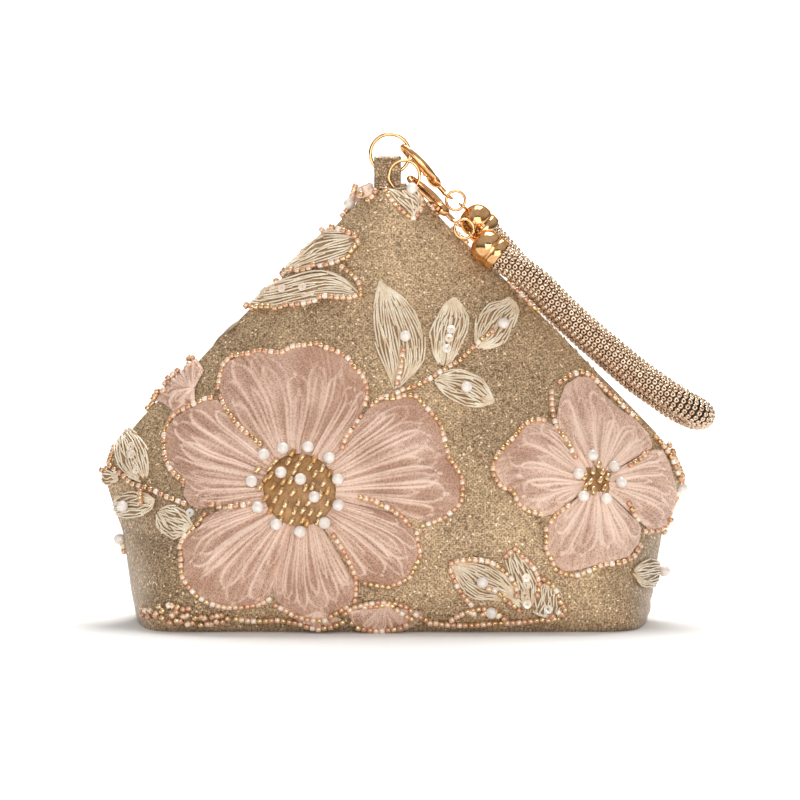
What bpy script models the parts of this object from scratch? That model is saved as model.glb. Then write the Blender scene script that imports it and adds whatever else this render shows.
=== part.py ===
"""Evening clutch: a pyramid-shaped pouch of metallic linen with applied petals and
leaves, a folded tab and two rings at its peak, and a mesh-tube wrist loop that two
lobster claws hold. Front faces -Y, width along X, and it stands on Z = 0."""
import math

import bmesh
import bpy
from mathutils import Matrix, Vector

MM = 0.001
WELD = 0.01 * MM

# Pouch
POUCH_HEIGHT = 142.5 * MM
POUCH_HALF_WIDTH = 95.0 * MM
POUCH_HALF_DEPTH = 37.5 * MM
WALL = 2.0 * MM
FOLD_HALF = 2.2 * MM
MOUTH_HALF = 4.0 * MM
MOUTH_LOW = 0.40
PEAK_OPEN = 0.91
MOUTH_BLEND = 0.07
PANEL_STEPS = 14

# Shares of the pouch's height, half width and half depth, bottom to top.
# A high squareness gives a boxy section, and 2 gives a lens.
SECTIONS = (
    # height, width, depth, squareness
    (0.000, 0.870, 0.800, 16.0),
    (0.015, 0.886, 0.900, 14.0),
    (0.040, 0.897, 0.965, 13.0),
    (0.083, 0.908, 1.000, 11.0),
    (0.210, 0.940, 0.985, 6.0),
    (0.330, 1.000, 0.900, 3.2),
    (MOUTH_LOW, 0.960, 0.830, 2.5),
    (0.440, 0.910, 0.780, 2.2),
    (0.510, 0.810, 0.700, 2.0),
    (0.585, 0.700, 0.620, 2.0),
    (0.655, 0.600, 0.540, 2.0),
    (0.745, 0.460, 0.430, 2.0),
    (0.820, 0.345, 0.350, 2.0),
    (PEAK_OPEN, 0.200, 0.275, 2.0),
    (0.970, 0.118, 0.242, 2.0),
    (1.000, 0.094, 0.232, 2.0),
)

# Zip, along the middle of the mouth
ZIP_RECESS = 4.2 * MM
ZIP_TAPE_HALF_THICK = 0.6 * MM
ZIP_TOOTH_HALF = 1.5 * MM
ZIP_TOOTH_RISE = 1.6 * MM

# Applied petals, leaves and pearls
SEAT = 0.65 * MM
PETAL_THICK = 2.0 * MM
PETAL_EDGE = 1.1 * MM
LEAF_THICK = 2.2 * MM
LEAF_EDGE = 1.0 * MM
PEARL_R = 2.0 * MM
PEARL_GAP = 0.9 * MM
EDGE_MARGIN = 0.94

LARGE_FLOWER = {"x": -0.3125, "z": 0.328, "reach": 48.0 * MM, "disc": 12.6 * MM, "pearls": 11}
SMALL_FLOWER = {"x": 0.700, "z": 0.338, "reach": 29.5 * MM, "disc": 6.6 * MM, "pearls": 6}
INNER_PEARL_SHARE = 0.42
INNER_PEARLS = 3

# Each petal spans from one angle to the other about its flower, in degrees from +X.
# Its reach is a share of the flower's, read at even steps across that span.
LARGE_PETALS = (
    # name, from, to, reach
    ("large_petal_top", 131.0, 51.5, (0.74, 1.00, 0.99, 0.985, 0.985, 0.90, 0.55)),
    ("large_petal_right", 48.5, -13.0, (0.72, 0.98, 1.03, 1.035, 1.07, 1.08, 0.82)),
    ("large_petal_low_right", -17.5, -56.0, (0.72, 0.89, 0.94, 0.925, 0.87, 0.67)),
    ("large_petal_low", -60.0, -104.5, (0.66, 0.84, 0.865, 0.87, 0.85, 0.68)),
    ("large_petal_low_left", -108.5, -163.0, (0.75, 0.88, 0.97, 1.00, 0.95, 0.90, 0.66)),
    ("large_petal_left", -167.0, -225.0, (0.62, 0.80, 0.87, 0.96, 1.00, 0.94, 0.75)),
)
SMALL_PETALS = (
    # name, from, to, reach
    ("small_petal_top", 123.0, 33.0, (0.74, 1.08, 1.14, 0.91, 0.82, 0.79, 0.66)),
    ("small_petal_left", 216.0, 128.5, (0.58, 0.81, 0.93, 1.14, 1.07, 0.98, 0.74)),
    ("small_petal_low", 315.0, 222.0, (0.60, 0.86, 0.89, 0.93, 1.01, 0.94, 0.62)),
    ("small_petal_right", 27.0, -40.0, (0.70, 0.84, 0.85, 0.91, 0.92, 0.90, 0.69)),
)

# Leaves run from base to tip. x and width are shares of the pouch's half width, z of
# its height, and bow is how far the middle swings to the left of base-to-tip.
LEAVES = (
    # name, base x, base z, tip x, tip z, width, bow, pearl place or None
    ("leaf_tall", 0.012, 0.552, -0.040, 0.792, 0.145, -0.040, 0.47),
    ("leaf_middle", 0.184, 0.606, 0.215, 0.750, 0.115, 0.000, None),
    ("leaf_upper_right", 0.296, 0.642, 0.424, 0.742, 0.110, 0.000, 0.58),
    ("leaf_lower_right", 0.150, 0.566, 0.352, 0.528, 0.115, 0.010, 0.52),
    ("leaf_ridge_upper", -0.095, 0.868, -0.315, 0.800, 0.085, -0.012, None),
    ("leaf_ridge_lower", -0.120, 0.745, -0.490, 0.735, 0.095, -0.025, None),
    ("leaf_side_tall", -0.853, 0.352, -0.890, 0.450, 0.095, 0.000, None),
    ("leaf_side_left", -0.945, 0.262, -0.825, 0.280, 0.085, 0.010, 0.45),
    ("leaf_side_right", -0.795, 0.262, -0.688, 0.236, 0.095, 0.000, None),
    ("leaf_base_left", 0.198, 0.160, 0.415, 0.066, 0.115, 0.010, 0.45),
    ("leaf_base_middle", 0.435, 0.178, 0.490, 0.062, 0.066, -0.010, None),
    ("leaf_base_right", 0.560, 0.126, 0.545, 0.034, 0.090, 0.000, None),
    ("leaf_corner_right", 0.800, 0.118, 0.905, 0.128, 0.085, 0.000, None),
)

# Peak fittings, each a ribbon loop with a ring through it, at heights from the peak
LOOP_CLEAR = 0.35 * MM
TAB = {"x": -1.5 * MM, "y": 1.6 * MM, "low": POUCH_HEIGHT - 4.5 * MM,
       "high": POUCH_HEIGHT + 10.9 * MM, "width": 8.9 * MM, "thick": 1.1 * MM}
FRONT_LOOP = {"x": 2.9 * MM, "y": -2.6 * MM, "low": POUCH_HEIGHT - 6.0 * MM,
              "high": POUCH_HEIGHT + 2.1 * MM, "width": 3.8 * MM, "thick": 0.7 * MM}
TAB_RING = {"x": -0.7 * MM, "z": POUCH_HEIGHT + 11.6 * MM, "radius": 6.45 * MM, "wire": 0.60 * MM}
FRONT_RING = {"x": 4.0 * MM, "z": POUCH_HEIGHT + 4.5 * MM, "radius": 5.05 * MM, "wire": 0.55 * MM}

# Lobster claw, in its own frame: u across to the gate's side, v from eye to crown
CLAW_REACH = 20.8 * MM
CLAW_BODY_V = 6.8 * MM
CLAW_BODY_R = 2.9 * MM
CLAW_BODY_HALF_THICK = 1.75 * MM
CLAW_WIRE = 0.95 * MM
CLAW_BACK_SWELL = 0.42
CLAW_EYE_R = 1.65 * MM
CLAW_EYE_WIRE = 0.5 * MM
CLAW_NECK_R = 0.85 * MM
HOOK_ROUTE = (
    # u, v as shares of the claw's reach
    (-0.065, 0.330),
    (-0.130, 0.430),
    (-0.158, 0.570),
    (-0.158, 0.730),
    (-0.135, 0.890),
    (-0.060, 1.030),
    (0.040, 1.050),
    (0.120, 0.985),
    (0.148, 0.830),
)
PIVOT_U = 1.9 * MM
PIVOT_V = 7.6 * MM
GATE_TIP_V = 0.815
GATE_WIRE = 0.62 * MM
GATE_KNUCKLE_R = 1.1 * MM
GATE_HALF_THICK = 0.65 * MM
GATE_SLOT_CLEAR = 0.32 * MM
GATE_LEVER = 2.2 * MM

# Jump rings and end caps
JUMP_R = 3.15 * MM
JUMP_WIRE = 0.48 * MM
CAP_REACH = 11.5 * MM
CAP_EYE_R = 1.35 * MM
CAP_EYE_WIRE = 0.45 * MM
CAP_SOCKET = 3.0 * MM
CAP_WALL = 0.45 * MM
CAP_CLEAR = 0.30 * MM

# Wrist loop
STRAP_R = 4.9 * MM
STRAP_SIDES_RESOLUTION = 4
STRAP_STATIONS = 30

# Directions from the rings down to the strap, per side
CHAINS = {
    "front": {"ring": FRONT_RING, "ring_y": FRONT_LOOP["y"], "at": -35.0,
              "claw": (0.69, -0.27, -0.67), "jump": (0.80, -0.10, -0.59),
              "eye": (0.75, -0.12, -0.65), "cap": (0.80, -0.04, -0.60), "turn": 12.0, "gate": 1.0},
    "rear": {"ring": TAB_RING, "ring_y": TAB["y"], "at": 0.0,
             "claw": (0.67, 0.077, -0.74), "jump": (0.85, 0.15, -0.50),
             "eye": (0.75, 0.30, -0.59), "cap": (0.66, 0.20, -0.72), "turn": -10.0, "gate": -1.0},
}

# The strap's route between its caps, chosen by hand: x as a share of the pouch's half width,
# y in millimetres and z as a share of its height, so that it keeps clear of the ridge.
STRAP_ROUTE = (
    (0.4937, -9.6, 0.7902),
    (0.5832, -9.3, 0.7312),
    (0.6705, -8.8, 0.6772),
    (0.7611, -8.4, 0.6267),
    (0.8474, -8.1, 0.5796),
    (0.9379, -8.1, 0.5368),
    (1.0021, -7.8, 0.5095),
    (1.0516, -5.4, 0.4898),
    (1.0726, 0.0, 0.4765),
    (1.0484, 5.5, 0.4751),
    (0.9958, 8.1, 0.4905),
    (0.9326, 8.6, 0.5186),
    (0.8442, 8.6, 0.5607),
    (0.7579, 8.6, 0.6098),
    (0.6695, 8.6, 0.6604),
    (0.5811, 8.5, 0.7151),
    (0.4947, 8.3, 0.7747),
    (0.4316, 8.0, 0.8211),
    (0.3832, 7.5, 0.8582),
)

COLOURS = {
    # name: base colour, roughness, metallic
    "linen_tissue": ((0.45, 0.36, 0.22), 0.55, 0.25),
    "tulle": ((0.75, 0.52, 0.42), 0.75, 0.0),
    "leaf_thread": ((0.82, 0.72, 0.55), 0.50, 0.0),
    "flower_heart": ((0.45, 0.20, 0.06), 0.35, 0.3),
    "gold_metal": ((0.85, 0.52, 0.22), 0.20, 1.0),
    "mesh_metal": ((0.75, 0.55, 0.38), 0.30, 1.0),
    "tab_leather": ((0.33, 0.26, 0.14), 0.50, 0.3),
    "zip_tape": ((0.40, 0.32, 0.22), 0.80, 0.0),
}

parts = None
cutters = None


def clear_scene():
    for obj in list(bpy.data.objects):
        bpy.data.objects.remove(obj)


def new_collection(name):
    made = bpy.data.collections.new(name)
    bpy.context.scene.collection.children.link(made)
    return made


def material(name):
    found = bpy.data.materials.get(name)
    if found:
        return found
    colour, roughness, metallic = COLOURS[name]
    made = bpy.data.materials.new(name)
    made.use_nodes = True
    shader = made.node_tree.nodes["Principled BSDF"]
    shader.inputs["Base Color"].default_value = (*colour, 1.0)
    shader.inputs["Roughness"].default_value = roughness
    shader.inputs["Metallic"].default_value = metallic
    return made


def adopt(obj, name, material_name, smooth=40.0):
    """Names an object, gives it its material and files it with the parts."""
    obj.name = name
    for holder in list(obj.users_collection):
        holder.objects.unlink(obj)
    parts.objects.link(obj)
    obj.data.materials.clear()
    obj.data.materials.append(material(material_name))
    obj.data.shade_smooth()
    obj.data.set_sharp_from_angle(angle=math.radians(smooth))
    return obj


def object_from(bm, name):
    mesh = bpy.data.meshes.new(name)
    bm.to_mesh(mesh)
    bm.free()
    obj = bpy.data.objects.new(name, mesh)
    cutters.objects.link(obj)
    return obj


def set_aside(obj):
    obj.hide_render = True
    obj.display_type = 'WIRE'
    return obj


def bake(obj):
    """Replaces an object by a plain mesh of what its modifiers or curve make."""
    bpy.context.view_layer.update()
    evaluated = obj.evaluated_get(bpy.context.evaluated_depsgraph_get())
    mesh = bpy.data.meshes.new_from_object(evaluated)
    bm = bmesh.new()
    bm.from_mesh(mesh)
    bmesh.ops.remove_doubles(bm, verts=bm.verts, dist=WELD)
    bmesh.ops.recalc_face_normals(bm, faces=bm.faces)
    bm.to_mesh(mesh)
    bm.free()
    made = bpy.data.objects.new(obj.name + "_mesh", mesh)
    made.matrix_world = obj.matrix_world
    cutters.objects.link(made)
    bpy.data.objects.remove(obj)
    return made


def boolean(base, others, operation):
    """Joins or cuts a mesh with others, which are removed afterwards."""
    for other in others:
        step = base.modifiers.new(operation.lower(), 'BOOLEAN')
        step.operation = operation
        step.solver = 'EXACT'
        step.object = other
    made = bake(base)
    for other in others:
        bpy.data.objects.remove(other)
    return made


def tube(name, points, radii, resolution=2):
    """A round wire along points, with filled ends, as a mesh."""
    curve = bpy.data.curves.new(name, 'CURVE')
    curve.dimensions = '3D'
    curve.bevel_depth = 1.0
    curve.bevel_resolution = resolution
    curve.use_fill_caps = True
    spline = curve.splines.new('POLY')
    spline.points.add(len(points) - 1)
    for place, point, radius in zip(spline.points, points, radii):
        place.co = (*point, 1.0)
        place.radius = radius
    obj = bpy.data.objects.new(name, curve)
    cutters.objects.link(obj)
    return bake(obj)


def frame_along(direction, towards):
    """A rotation whose Z is the direction and whose X leans towards a vector."""
    z = Vector(direction).normalized()
    x = Vector(towards) - z * z.dot(Vector(towards))
    x.normalize()
    y = z.cross(x)
    return Matrix((x, y, z)).transposed().to_4x4()


def torus(name, centre, axis, radius, wire, sides=22, wire_sides=6):
    bpy.ops.mesh.primitive_torus_add(major_segments=sides, minor_segments=wire_sides,
                                     major_radius=radius, minor_radius=wire)
    obj = bpy.context.object
    obj.name = name
    obj.matrix_world = Matrix.Translation(centre) @ frame_along(axis, (0.3, 0.5, 0.8))
    return bake(obj)


def ball(name, matrix, across, up):
    bm = bmesh.new()
    bmesh.ops.create_uvsphere(bm, u_segments=across, v_segments=up, radius=1.0, matrix=matrix)
    return object_from(bm, name)


def smooth_route(points, count):
    """Even steps along a Catmull-Rom curve through the points."""
    pts = [Vector(p) for p in points]
    pts = [pts[0] * 2 - pts[1]] + pts + [pts[-1] * 2 - pts[-2]]
    fine = []
    for i in range(1, len(pts) - 2):
        a, b, c, d = pts[i - 1:i + 3]
        for k in range(12):
            t = k / 12
            fine.append(0.5 * (2 * b + (c - a) * t + (2 * a - 5 * b + 4 * c - d) * t ** 2
                               + (3 * b - a - 3 * c + d) * t ** 3))
    fine.append(pts[-2])
    lengths = [0.0]
    for a, b in zip(fine, fine[1:]):
        lengths.append(lengths[-1] + (b - a).length)
    out = []
    at = 0
    for k in range(count):
        want = lengths[-1] * k / (count - 1)
        while at < len(fine) - 2 and lengths[at + 1] < want:
            at += 1
        share = (want - lengths[at]) / max(lengths[at + 1] - lengths[at], 1e-9)
        out.append(fine[at].lerp(fine[at + 1], min(share, 1.0)))
    return out


def section(z):
    """Half width, half depth and squareness of the pouch at a height."""
    share = min(max(z / POUCH_HEIGHT, 0.0), 1.0)
    for low, high in zip(SECTIONS, SECTIONS[1:]):
        if share <= high[0]:
            t = (share - low[0]) / (high[0] - low[0])
            width, depth, square = [a + (b - a) * t for a, b in zip(low[1:], high[1:])]
            return width * POUCH_HALF_WIDTH, depth * POUCH_HALF_DEPTH, square
    return None


def end_half(x, z):
    """Half thickness of a folded end, or of the mouth along the right edge and the peak."""
    mouth_from = MOUTH_LOW if x > 0 else PEAK_OPEN
    spread = (z / POUCH_HEIGHT - mouth_from) / MOUTH_BLEND + 1.0
    return FOLD_HALF + (MOUTH_HALF - FOLD_HALF) * min(max(spread, 0.0), 1.0)


def half_depth(x, z):
    width, depth, square = section(z)
    u = min(abs(x) / width, 1.0)
    end = end_half(x, z)
    return end + (depth - end) * (1 - u ** square)


def on_front(x, z, out):
    """A point that stands out from the front panel by a distance."""
    width = section(z)[0]
    x = max(-width * EDGE_MARGIN, min(width * EDGE_MARGIN, x))
    step = 1.0 * MM
    slope_x = (half_depth(x + step, z) - half_depth(x - step, z)) / (2 * step)
    slope_z = (half_depth(x, z + step) - half_depth(x, z - step)) / (2 * step)
    normal = Vector((-slope_x, -1.0, -slope_z)).normalized()
    return Vector((x, -half_depth(x, z), z)) + normal * out


def make_pouch():
    """A shell lofted through the sections, open along the mouth and at the peak."""
    bm = bmesh.new()
    rings = []
    for row in SECTIONS:
        z = row[0] * POUCH_HEIGHT
        width = row[1] * POUCH_HALF_WIDTH
        xs = [width * math.sin(math.pi * (k / PANEL_STEPS - 0.5)) for k in range(PANEL_STEPS + 1)]
        front = [(x, -half_depth(x, z), z) for x in xs]
        back = [(x, half_depth(x, z), z) for x in reversed(xs)]
        rings.append([bm.verts.new(p) for p in front + back])
    count = len(rings[0])
    for level, (low, high) in enumerate(zip(rings, rings[1:])):
        for k in range(count):
            if k == PANEL_STEPS and SECTIONS[level][0] >= MOUTH_LOW:
                continue
            after = (k + 1) % count
            bm.faces.new((low[k], low[after], high[after], high[k]))
    bm.faces.new(list(reversed(rings[0])))
    pouch = adopt(object_from(bm, "pouch_shell"), "pouch_shell", "linen_tissue", 50.0)
    wall = pouch.modifiers.new("wall", 'SOLIDIFY')
    wall.thickness = WALL
    wall.offset = -1.0
    wall.use_even_offset = True
    return pouch


def make_zip():
    """A plain closed zip: a tape inside the mouth with a raised tooth line on it."""
    recess = ZIP_RECESS
    tape_half_thick = ZIP_TAPE_HALF_THICK
    tooth_half = ZIP_TOOTH_HALF
    tooth_rise = ZIP_TOOTH_RISE
    wall_allowance = WALL * 1.75
    top_share = 0.93
    low_share = MOUTH_LOW + 0.035
    stations = 11
    bm = bmesh.new()
    rings = []
    for k in range(stations):
        z = POUCH_HEIGHT * (low_share + (top_share - low_share) * k / (stations - 1))
        step = 2.0 * MM
        run = Vector((section(z + step)[0] - section(z - step)[0], 0.0, 2 * step)).normalized()
        inward = Vector((-run.z, 0.0, run.x))
        middle = Vector((section(z)[0], 0.0, z)) + inward * recess
        half = half_depth(middle.x, middle.z) - wall_allowance
        half = max(min(half, 2 * MOUTH_HALF), tooth_half + 0.5 * MM)
        profile = ((-half, tape_half_thick), (-half, -tape_half_thick),
                   (-tooth_half, -tape_half_thick), (-tooth_half, -tooth_rise),
                   (tooth_half, -tooth_rise), (tooth_half, -tape_half_thick),
                   (half, -tape_half_thick), (half, tape_half_thick))
        rings.append([bm.verts.new(middle + Vector((0, across, 0)) + inward * deep)
                      for across, deep in profile])
    for low, high in zip(rings, rings[1:]):
        for k in range(len(low)):
            after = (k + 1) % len(low)
            bm.faces.new((low[k], low[after], high[after], high[k]))
    bm.faces.new(list(reversed(rings[0])))
    bm.faces.new(rings[-1])
    bmesh.ops.recalc_face_normals(bm, faces=bm.faces)
    return adopt(object_from(bm, "zip"), "mouth_zip", "zip_tape", 30.0)


def make_applique(name, outline, thick, edge, scales, material_name):
    """A crowned cloth piece that follows the front panel inside an (x, z) outline."""
    middle_x = sum(p[0] for p in outline) / len(outline)
    middle_z = sum(p[1] for p in outline) / len(outline)

    def layer(out_at):
        rings = []
        for scale in scales:
            rings.append([bm.verts.new(on_front(middle_x + (x - middle_x) * scale,
                                                middle_z + (z - middle_z) * scale,
                                                out_at(scale))) for x, z in outline])
        rings.append([bm.verts.new(on_front(middle_x, middle_z, out_at(0.0)))])
        return rings

    bm = bmesh.new()
    top = layer(lambda s: SEAT + edge + (thick - edge) * (1 - s ** 2))
    under = layer(lambda s: SEAT)
    count = len(outline)
    for rings in (top, under):
        for outer, inner in zip(rings, rings[1:]):
            for k in range(count):
                after = (k + 1) % count
                if len(inner) == 1:
                    bm.faces.new((outer[k], outer[after], inner[0]))
                else:
                    bm.faces.new((outer[k], outer[after], inner[after], inner[k]))
    for k in range(count):
        after = (k + 1) % count
        bm.faces.new((top[0][k], top[0][after], under[0][after], under[0][k]))
    bmesh.ops.recalc_face_normals(bm, faces=bm.faces)
    return adopt(object_from(bm, name), name, material_name, 60.0)


def flower_centre(flower):
    return flower["x"] * POUCH_HALF_WIDTH, flower["z"] * POUCH_HEIGHT


def petal_outline(flower, start, end, reach):
    """Out along one side, round the lobed rim and back along the other side."""
    root = flower["disc"] + PEARL_R + PEARL_GAP
    rim_steps = 12
    table = [Vector((share * flower["reach"], 0, 0)) for share in reach]
    rim = smooth_route([(k, v.x * 1000, 0) for k, v in enumerate(table)], rim_steps + 1)
    polar = []
    for point in rim:
        angle = start + (end - start) * point.x / (len(reach) - 1)
        polar.append((angle, point.y / 1000))
    side = 0.5
    polar.append((end, root + (polar[-1][1] - root) * side))
    for k in range(4):
        polar.append((end + (start - end) * k / 3, root))
    polar.append((start, root + (polar[0][1] - root) * side))
    cx, cz = flower_centre(flower)
    return [(cx + r * math.cos(math.radians(a)), cz + r * math.sin(math.radians(a)))
            for a, r in polar]


def pearl_at(x, z):
    place = on_front(x, z, SEAT + PEARL_R + 0.1 * MM)
    return ball("pearl", Matrix.Translation(place) @ Matrix.Scale(PEARL_R, 4), 10, 5)


def make_flower(flower, petals, label, inner):
    cx, cz = flower_centre(flower)
    for name, start, end, reach in petals:
        outline = petal_outline(flower, start, end, reach)
        make_applique(name, outline, PETAL_THICK, PETAL_EDGE, (1.0, 0.62), "tulle")
    disc_sides = 22
    disc = [(cx + flower["disc"] * math.cos(2 * math.pi * k / disc_sides),
             cz + flower["disc"] * math.sin(2 * math.pi * k / disc_sides))
            for k in range(disc_sides)]
    heart = make_applique(label + "_heart", disc, LEAF_THICK, PETAL_EDGE, (1.0, 0.55), "flower_heart")
    pearls = []
    for k in range(flower["pearls"]):
        angle = 2 * math.pi * (k + 0.4) / flower["pearls"]
        pearls.append(pearl_at(cx + flower["disc"] * math.cos(angle),
                               cz + flower["disc"] * math.sin(angle)))
    for k in range(inner):
        angle = 2 * math.pi * (k + 0.3) / inner
        near = flower["disc"] * INNER_PEARL_SHARE
        pearls.append(pearl_at(cx + near * math.cos(angle), cz + near * math.sin(angle)))
    adopt(boolean(heart, pearls, 'UNION'), label + "_heart", "flower_heart", 60.0)


def leaf_axis(row, t):
    """A point on a leaf's bowed midrib and the direction across it."""
    base = Vector((row[1] * POUCH_HALF_WIDTH, row[2] * POUCH_HEIGHT))
    tip = Vector((row[3] * POUCH_HALF_WIDTH, row[4] * POUCH_HEIGHT))
    along = (tip - base).normalized()
    across = Vector((-along.y, along.x))
    bow = row[6] * POUCH_HALF_WIDTH
    return base.lerp(tip, t) + across * bow * math.sin(math.pi * t), across


def make_leaf(row):
    side_steps = 6
    half = row[5] * POUCH_HALF_WIDTH / 2
    outline = []
    for sign, order in ((1, range(side_steps)), (-1, range(side_steps, 0, -1))):
        for k in order:
            t = k / side_steps
            middle, across = leaf_axis(row, t)
            swell = math.sin(math.pi * t) ** 0.75 if 0 < k < side_steps else 0.0
            point = middle + across * (sign * half * swell)
            outline.append((point.x, point.y))
    leaf = make_applique(row[0], outline, LEAF_THICK, LEAF_EDGE, (1.0, 0.5), "leaf_thread")
    if row[7] is not None:
        place, across = leaf_axis(row, row[7])
        leaf = boolean(leaf, [pearl_at(place.x, place.y)], 'UNION')
        adopt(leaf, row[0], "leaf_thread", 60.0)


def make_ribbon_loop(name, loop, wire, material_name):
    """A strip folded round a ring's wire, as an upright closed loop."""
    half = wire + LOOP_CLEAR + loop["thick"]
    turn_steps = 5
    path = []
    for sign, z in ((1, loop["high"] - half), (-1, loop["low"] + half)):
        for k in range(turn_steps + 1):
            angle = math.pi * k / turn_steps
            path.append((loop["y"] + sign * half * math.cos(angle), z + sign * half * math.sin(angle)))
    bm = bmesh.new()
    left = loop["x"] - loop["width"] / 2
    right = loop["x"] + loop["width"] / 2
    rows = [(bm.verts.new((left, y, z)), bm.verts.new((right, y, z))) for y, z in path]
    for k, (a, b) in enumerate(rows):
        c, d = rows[(k + 1) % len(rows)]
        bm.faces.new((a, b, d, c))
    bmesh.ops.recalc_face_normals(bm, faces=bm.faces)
    obj = adopt(object_from(bm, name), name, material_name, 50.0)
    wall = obj.modifiers.new("strip", 'SOLIDIFY')
    wall.thickness = loop["thick"]
    wall.offset = -1.0
    wall.use_even_offset = True
    return obj


def make_ring(name, ring, y):
    obj = torus(name, (ring["x"], y, ring["z"]), (0, -1, 0), ring["radius"], ring["wire"], 24, 6)
    adopt(obj, name, "gold_metal")


def claw_matrix(chain):
    """The claw's frame: X to the gate's side, Z from the eye to the crown."""
    ring = chain["ring"]
    at = math.radians(chain["at"])
    held = Vector((ring["x"] + ring["radius"] * math.cos(at), chain["ring_y"],
                   ring["z"] + ring["radius"] * math.sin(at)))
    tangent = Vector((-math.sin(at), 0.0, math.cos(at)))
    along = Vector(chain["claw"]).normalized()
    thick = (tangent - along * tangent.dot(along)).normalized()
    thick = Matrix.Rotation(math.radians(chain["turn"]), 3, along) @ thick
    across = thick.cross(-along) * chain["gate"]
    wire_v = CLAW_REACH * 0.90
    eye = held + along * wire_v
    return Matrix.Translation(eye) @ frame_along(-along, across), eye


def make_claw(label, chain, hole_axis):
    place, eye = claw_matrix(chain)
    body = ball("body", place @ Matrix.Translation((0, 0, CLAW_BODY_V))
                @ Matrix.Diagonal((CLAW_BODY_R, CLAW_BODY_HALF_THICK, CLAW_BODY_R, 1)), 14, 8)
    hook_points = smooth_route([(u * CLAW_REACH, 0, v * CLAW_REACH) for u, v in HOOK_ROUTE], 15)
    radii = [CLAW_WIRE * (1.10 - 0.25 * k / 14 + CLAW_BACK_SWELL * math.exp(-((k - 4) / 3.2) ** 2))
             for k in range(15)]
    hook = tube("hook", [place @ p for p in hook_points], radii)
    neck_low = CLAW_EYE_R * 0.9
    neck = tube("neck", [place @ Vector((0, 0, neck_low)), place @ Vector((0, 0, CLAW_BODY_V))],
                [CLAW_NECK_R, CLAW_NECK_R])
    loop = torus("eye", eye, hole_axis, CLAW_EYE_R, CLAW_EYE_WIRE, 14, 6)
    body = boolean(body, [hook, neck, loop], 'UNION')

    slot_half = GATE_HALF_THICK + GATE_SLOT_CLEAR
    slot_back = PIVOT_U - GATE_KNUCKLE_R - GATE_SLOT_CLEAR
    slot_front = CLAW_BODY_R * 1.6
    slot_low = PIVOT_V - GATE_KNUCKLE_R - GATE_SLOT_CLEAR
    slot_high = CLAW_BODY_V + CLAW_BODY_R * 1.5
    bm = bmesh.new()
    bmesh.ops.create_cube(bm, size=1.0, matrix=place
                          @ Matrix.Translation(((slot_back + slot_front) / 2, 0, (slot_low + slot_high) / 2))
                          @ Matrix.Diagonal((slot_front - slot_back, 2 * slot_half, slot_high - slot_low, 1)))
    slot = set_aside(object_from(bm, label + "_slot"))
    body = boolean(body, [slot], 'DIFFERENCE')
    adopt(body, label + "_body", "gold_metal")

    tip = Vector((HOOK_ROUTE[-1][0] * CLAW_REACH, 0, GATE_TIP_V * CLAW_REACH))
    pivot = Vector((PIVOT_U, 0, PIVOT_V))
    bar_places = [place @ pivot.lerp(tip, t) for t in (0.03, 0.5, 0.98)]
    bar = tube("bar", bar_places, [GATE_WIRE, GATE_WIRE, GATE_WIRE * 0.85])
    knuckle = tube("knuckle", [place @ (pivot + Vector((0, s * GATE_HALF_THICK, 0))) for s in (-1, 1)],
                   [GATE_KNUCKLE_R, GATE_KNUCKLE_R], 3)
    lever_root = pivot.lerp(tip, 0.22)
    lever_tip = lever_root + Vector((GATE_LEVER, 0, 0.15 * GATE_LEVER))
    lever = tube("lever", [place @ lever_root, place @ lever_tip], [GATE_WIRE * 0.7, GATE_WIRE * 0.85])
    gate = boolean(knuckle, [bar, lever], 'UNION')
    adopt(gate, label + "_gate", "gold_metal")
    pivot_place = place @ pivot
    gate.data.transform(Matrix.Translation(-pivot_place))
    gate.location = pivot_place
    return eye


def make_cap(name, eye, along):
    """A domed cup with an eye, turned about the strap's axis."""
    outer = STRAP_R + CAP_CLEAR + CAP_WALL
    dome_from = CAP_EYE_R + CAP_EYE_WIRE * 0.4
    shape = (
        # radius as a share of the cap's, distance from the eye as a share of the reach
        (0.00, dome_from / CAP_REACH),
        (0.30, 0.150),
        (0.62, 0.215),
        (0.86, 0.330),
        (0.97, 0.480),
        (0.99, 0.640),
        (0.92, 0.700),
        (0.92, 0.740),
        (1.00, 0.790),
        (1.00, 1.000),
    )
    profile = [(r * outer, t * CAP_REACH) for r, t in shape]
    inside = outer - CAP_WALL
    profile += [(inside, CAP_REACH), (inside, CAP_REACH - CAP_SOCKET), (0.0, CAP_REACH - CAP_SOCKET)]
    bm = bmesh.new()
    verts = [bm.verts.new((r, 0, t)) for r, t in profile]
    for a, b in zip(verts, verts[1:]):
        bm.edges.new((a, b))
    turned = object_from(bm, name)
    screw = turned.modifiers.new("turn", 'SCREW')
    screw.steps = 14
    screw.render_steps = 14
    screw.use_merge_vertices = True
    screw.merge_threshold = 0.00001
    turned.matrix_world = Matrix.Translation(eye) @ frame_along(along, (0, 1, 0))
    cup = bake(turned)
    return cup


def make_strap(rims):
    """The loop's centre line runs inside one cap's socket and out of the other's."""
    inset = CAP_SOCKET - CAP_CLEAR
    (front_rim, front_dir), (rear_rim, rear_dir) = rims
    route = [front_rim - front_dir * inset, front_rim]
    route += [Vector((x * POUCH_HALF_WIDTH, y * MM, z * POUCH_HEIGHT)) for x, y, z in STRAP_ROUTE]
    route += [rear_rim, rear_rim - rear_dir * inset]
    points = smooth_route(route, STRAP_STATIONS)
    points[0] = route[0]
    points[-1] = route[-1]
    loop = tube("strap", points, [STRAP_R] * len(points), STRAP_SIDES_RESOLUTION)
    adopt(loop, "strap_tube", "mesh_metal", 60.0)


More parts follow.
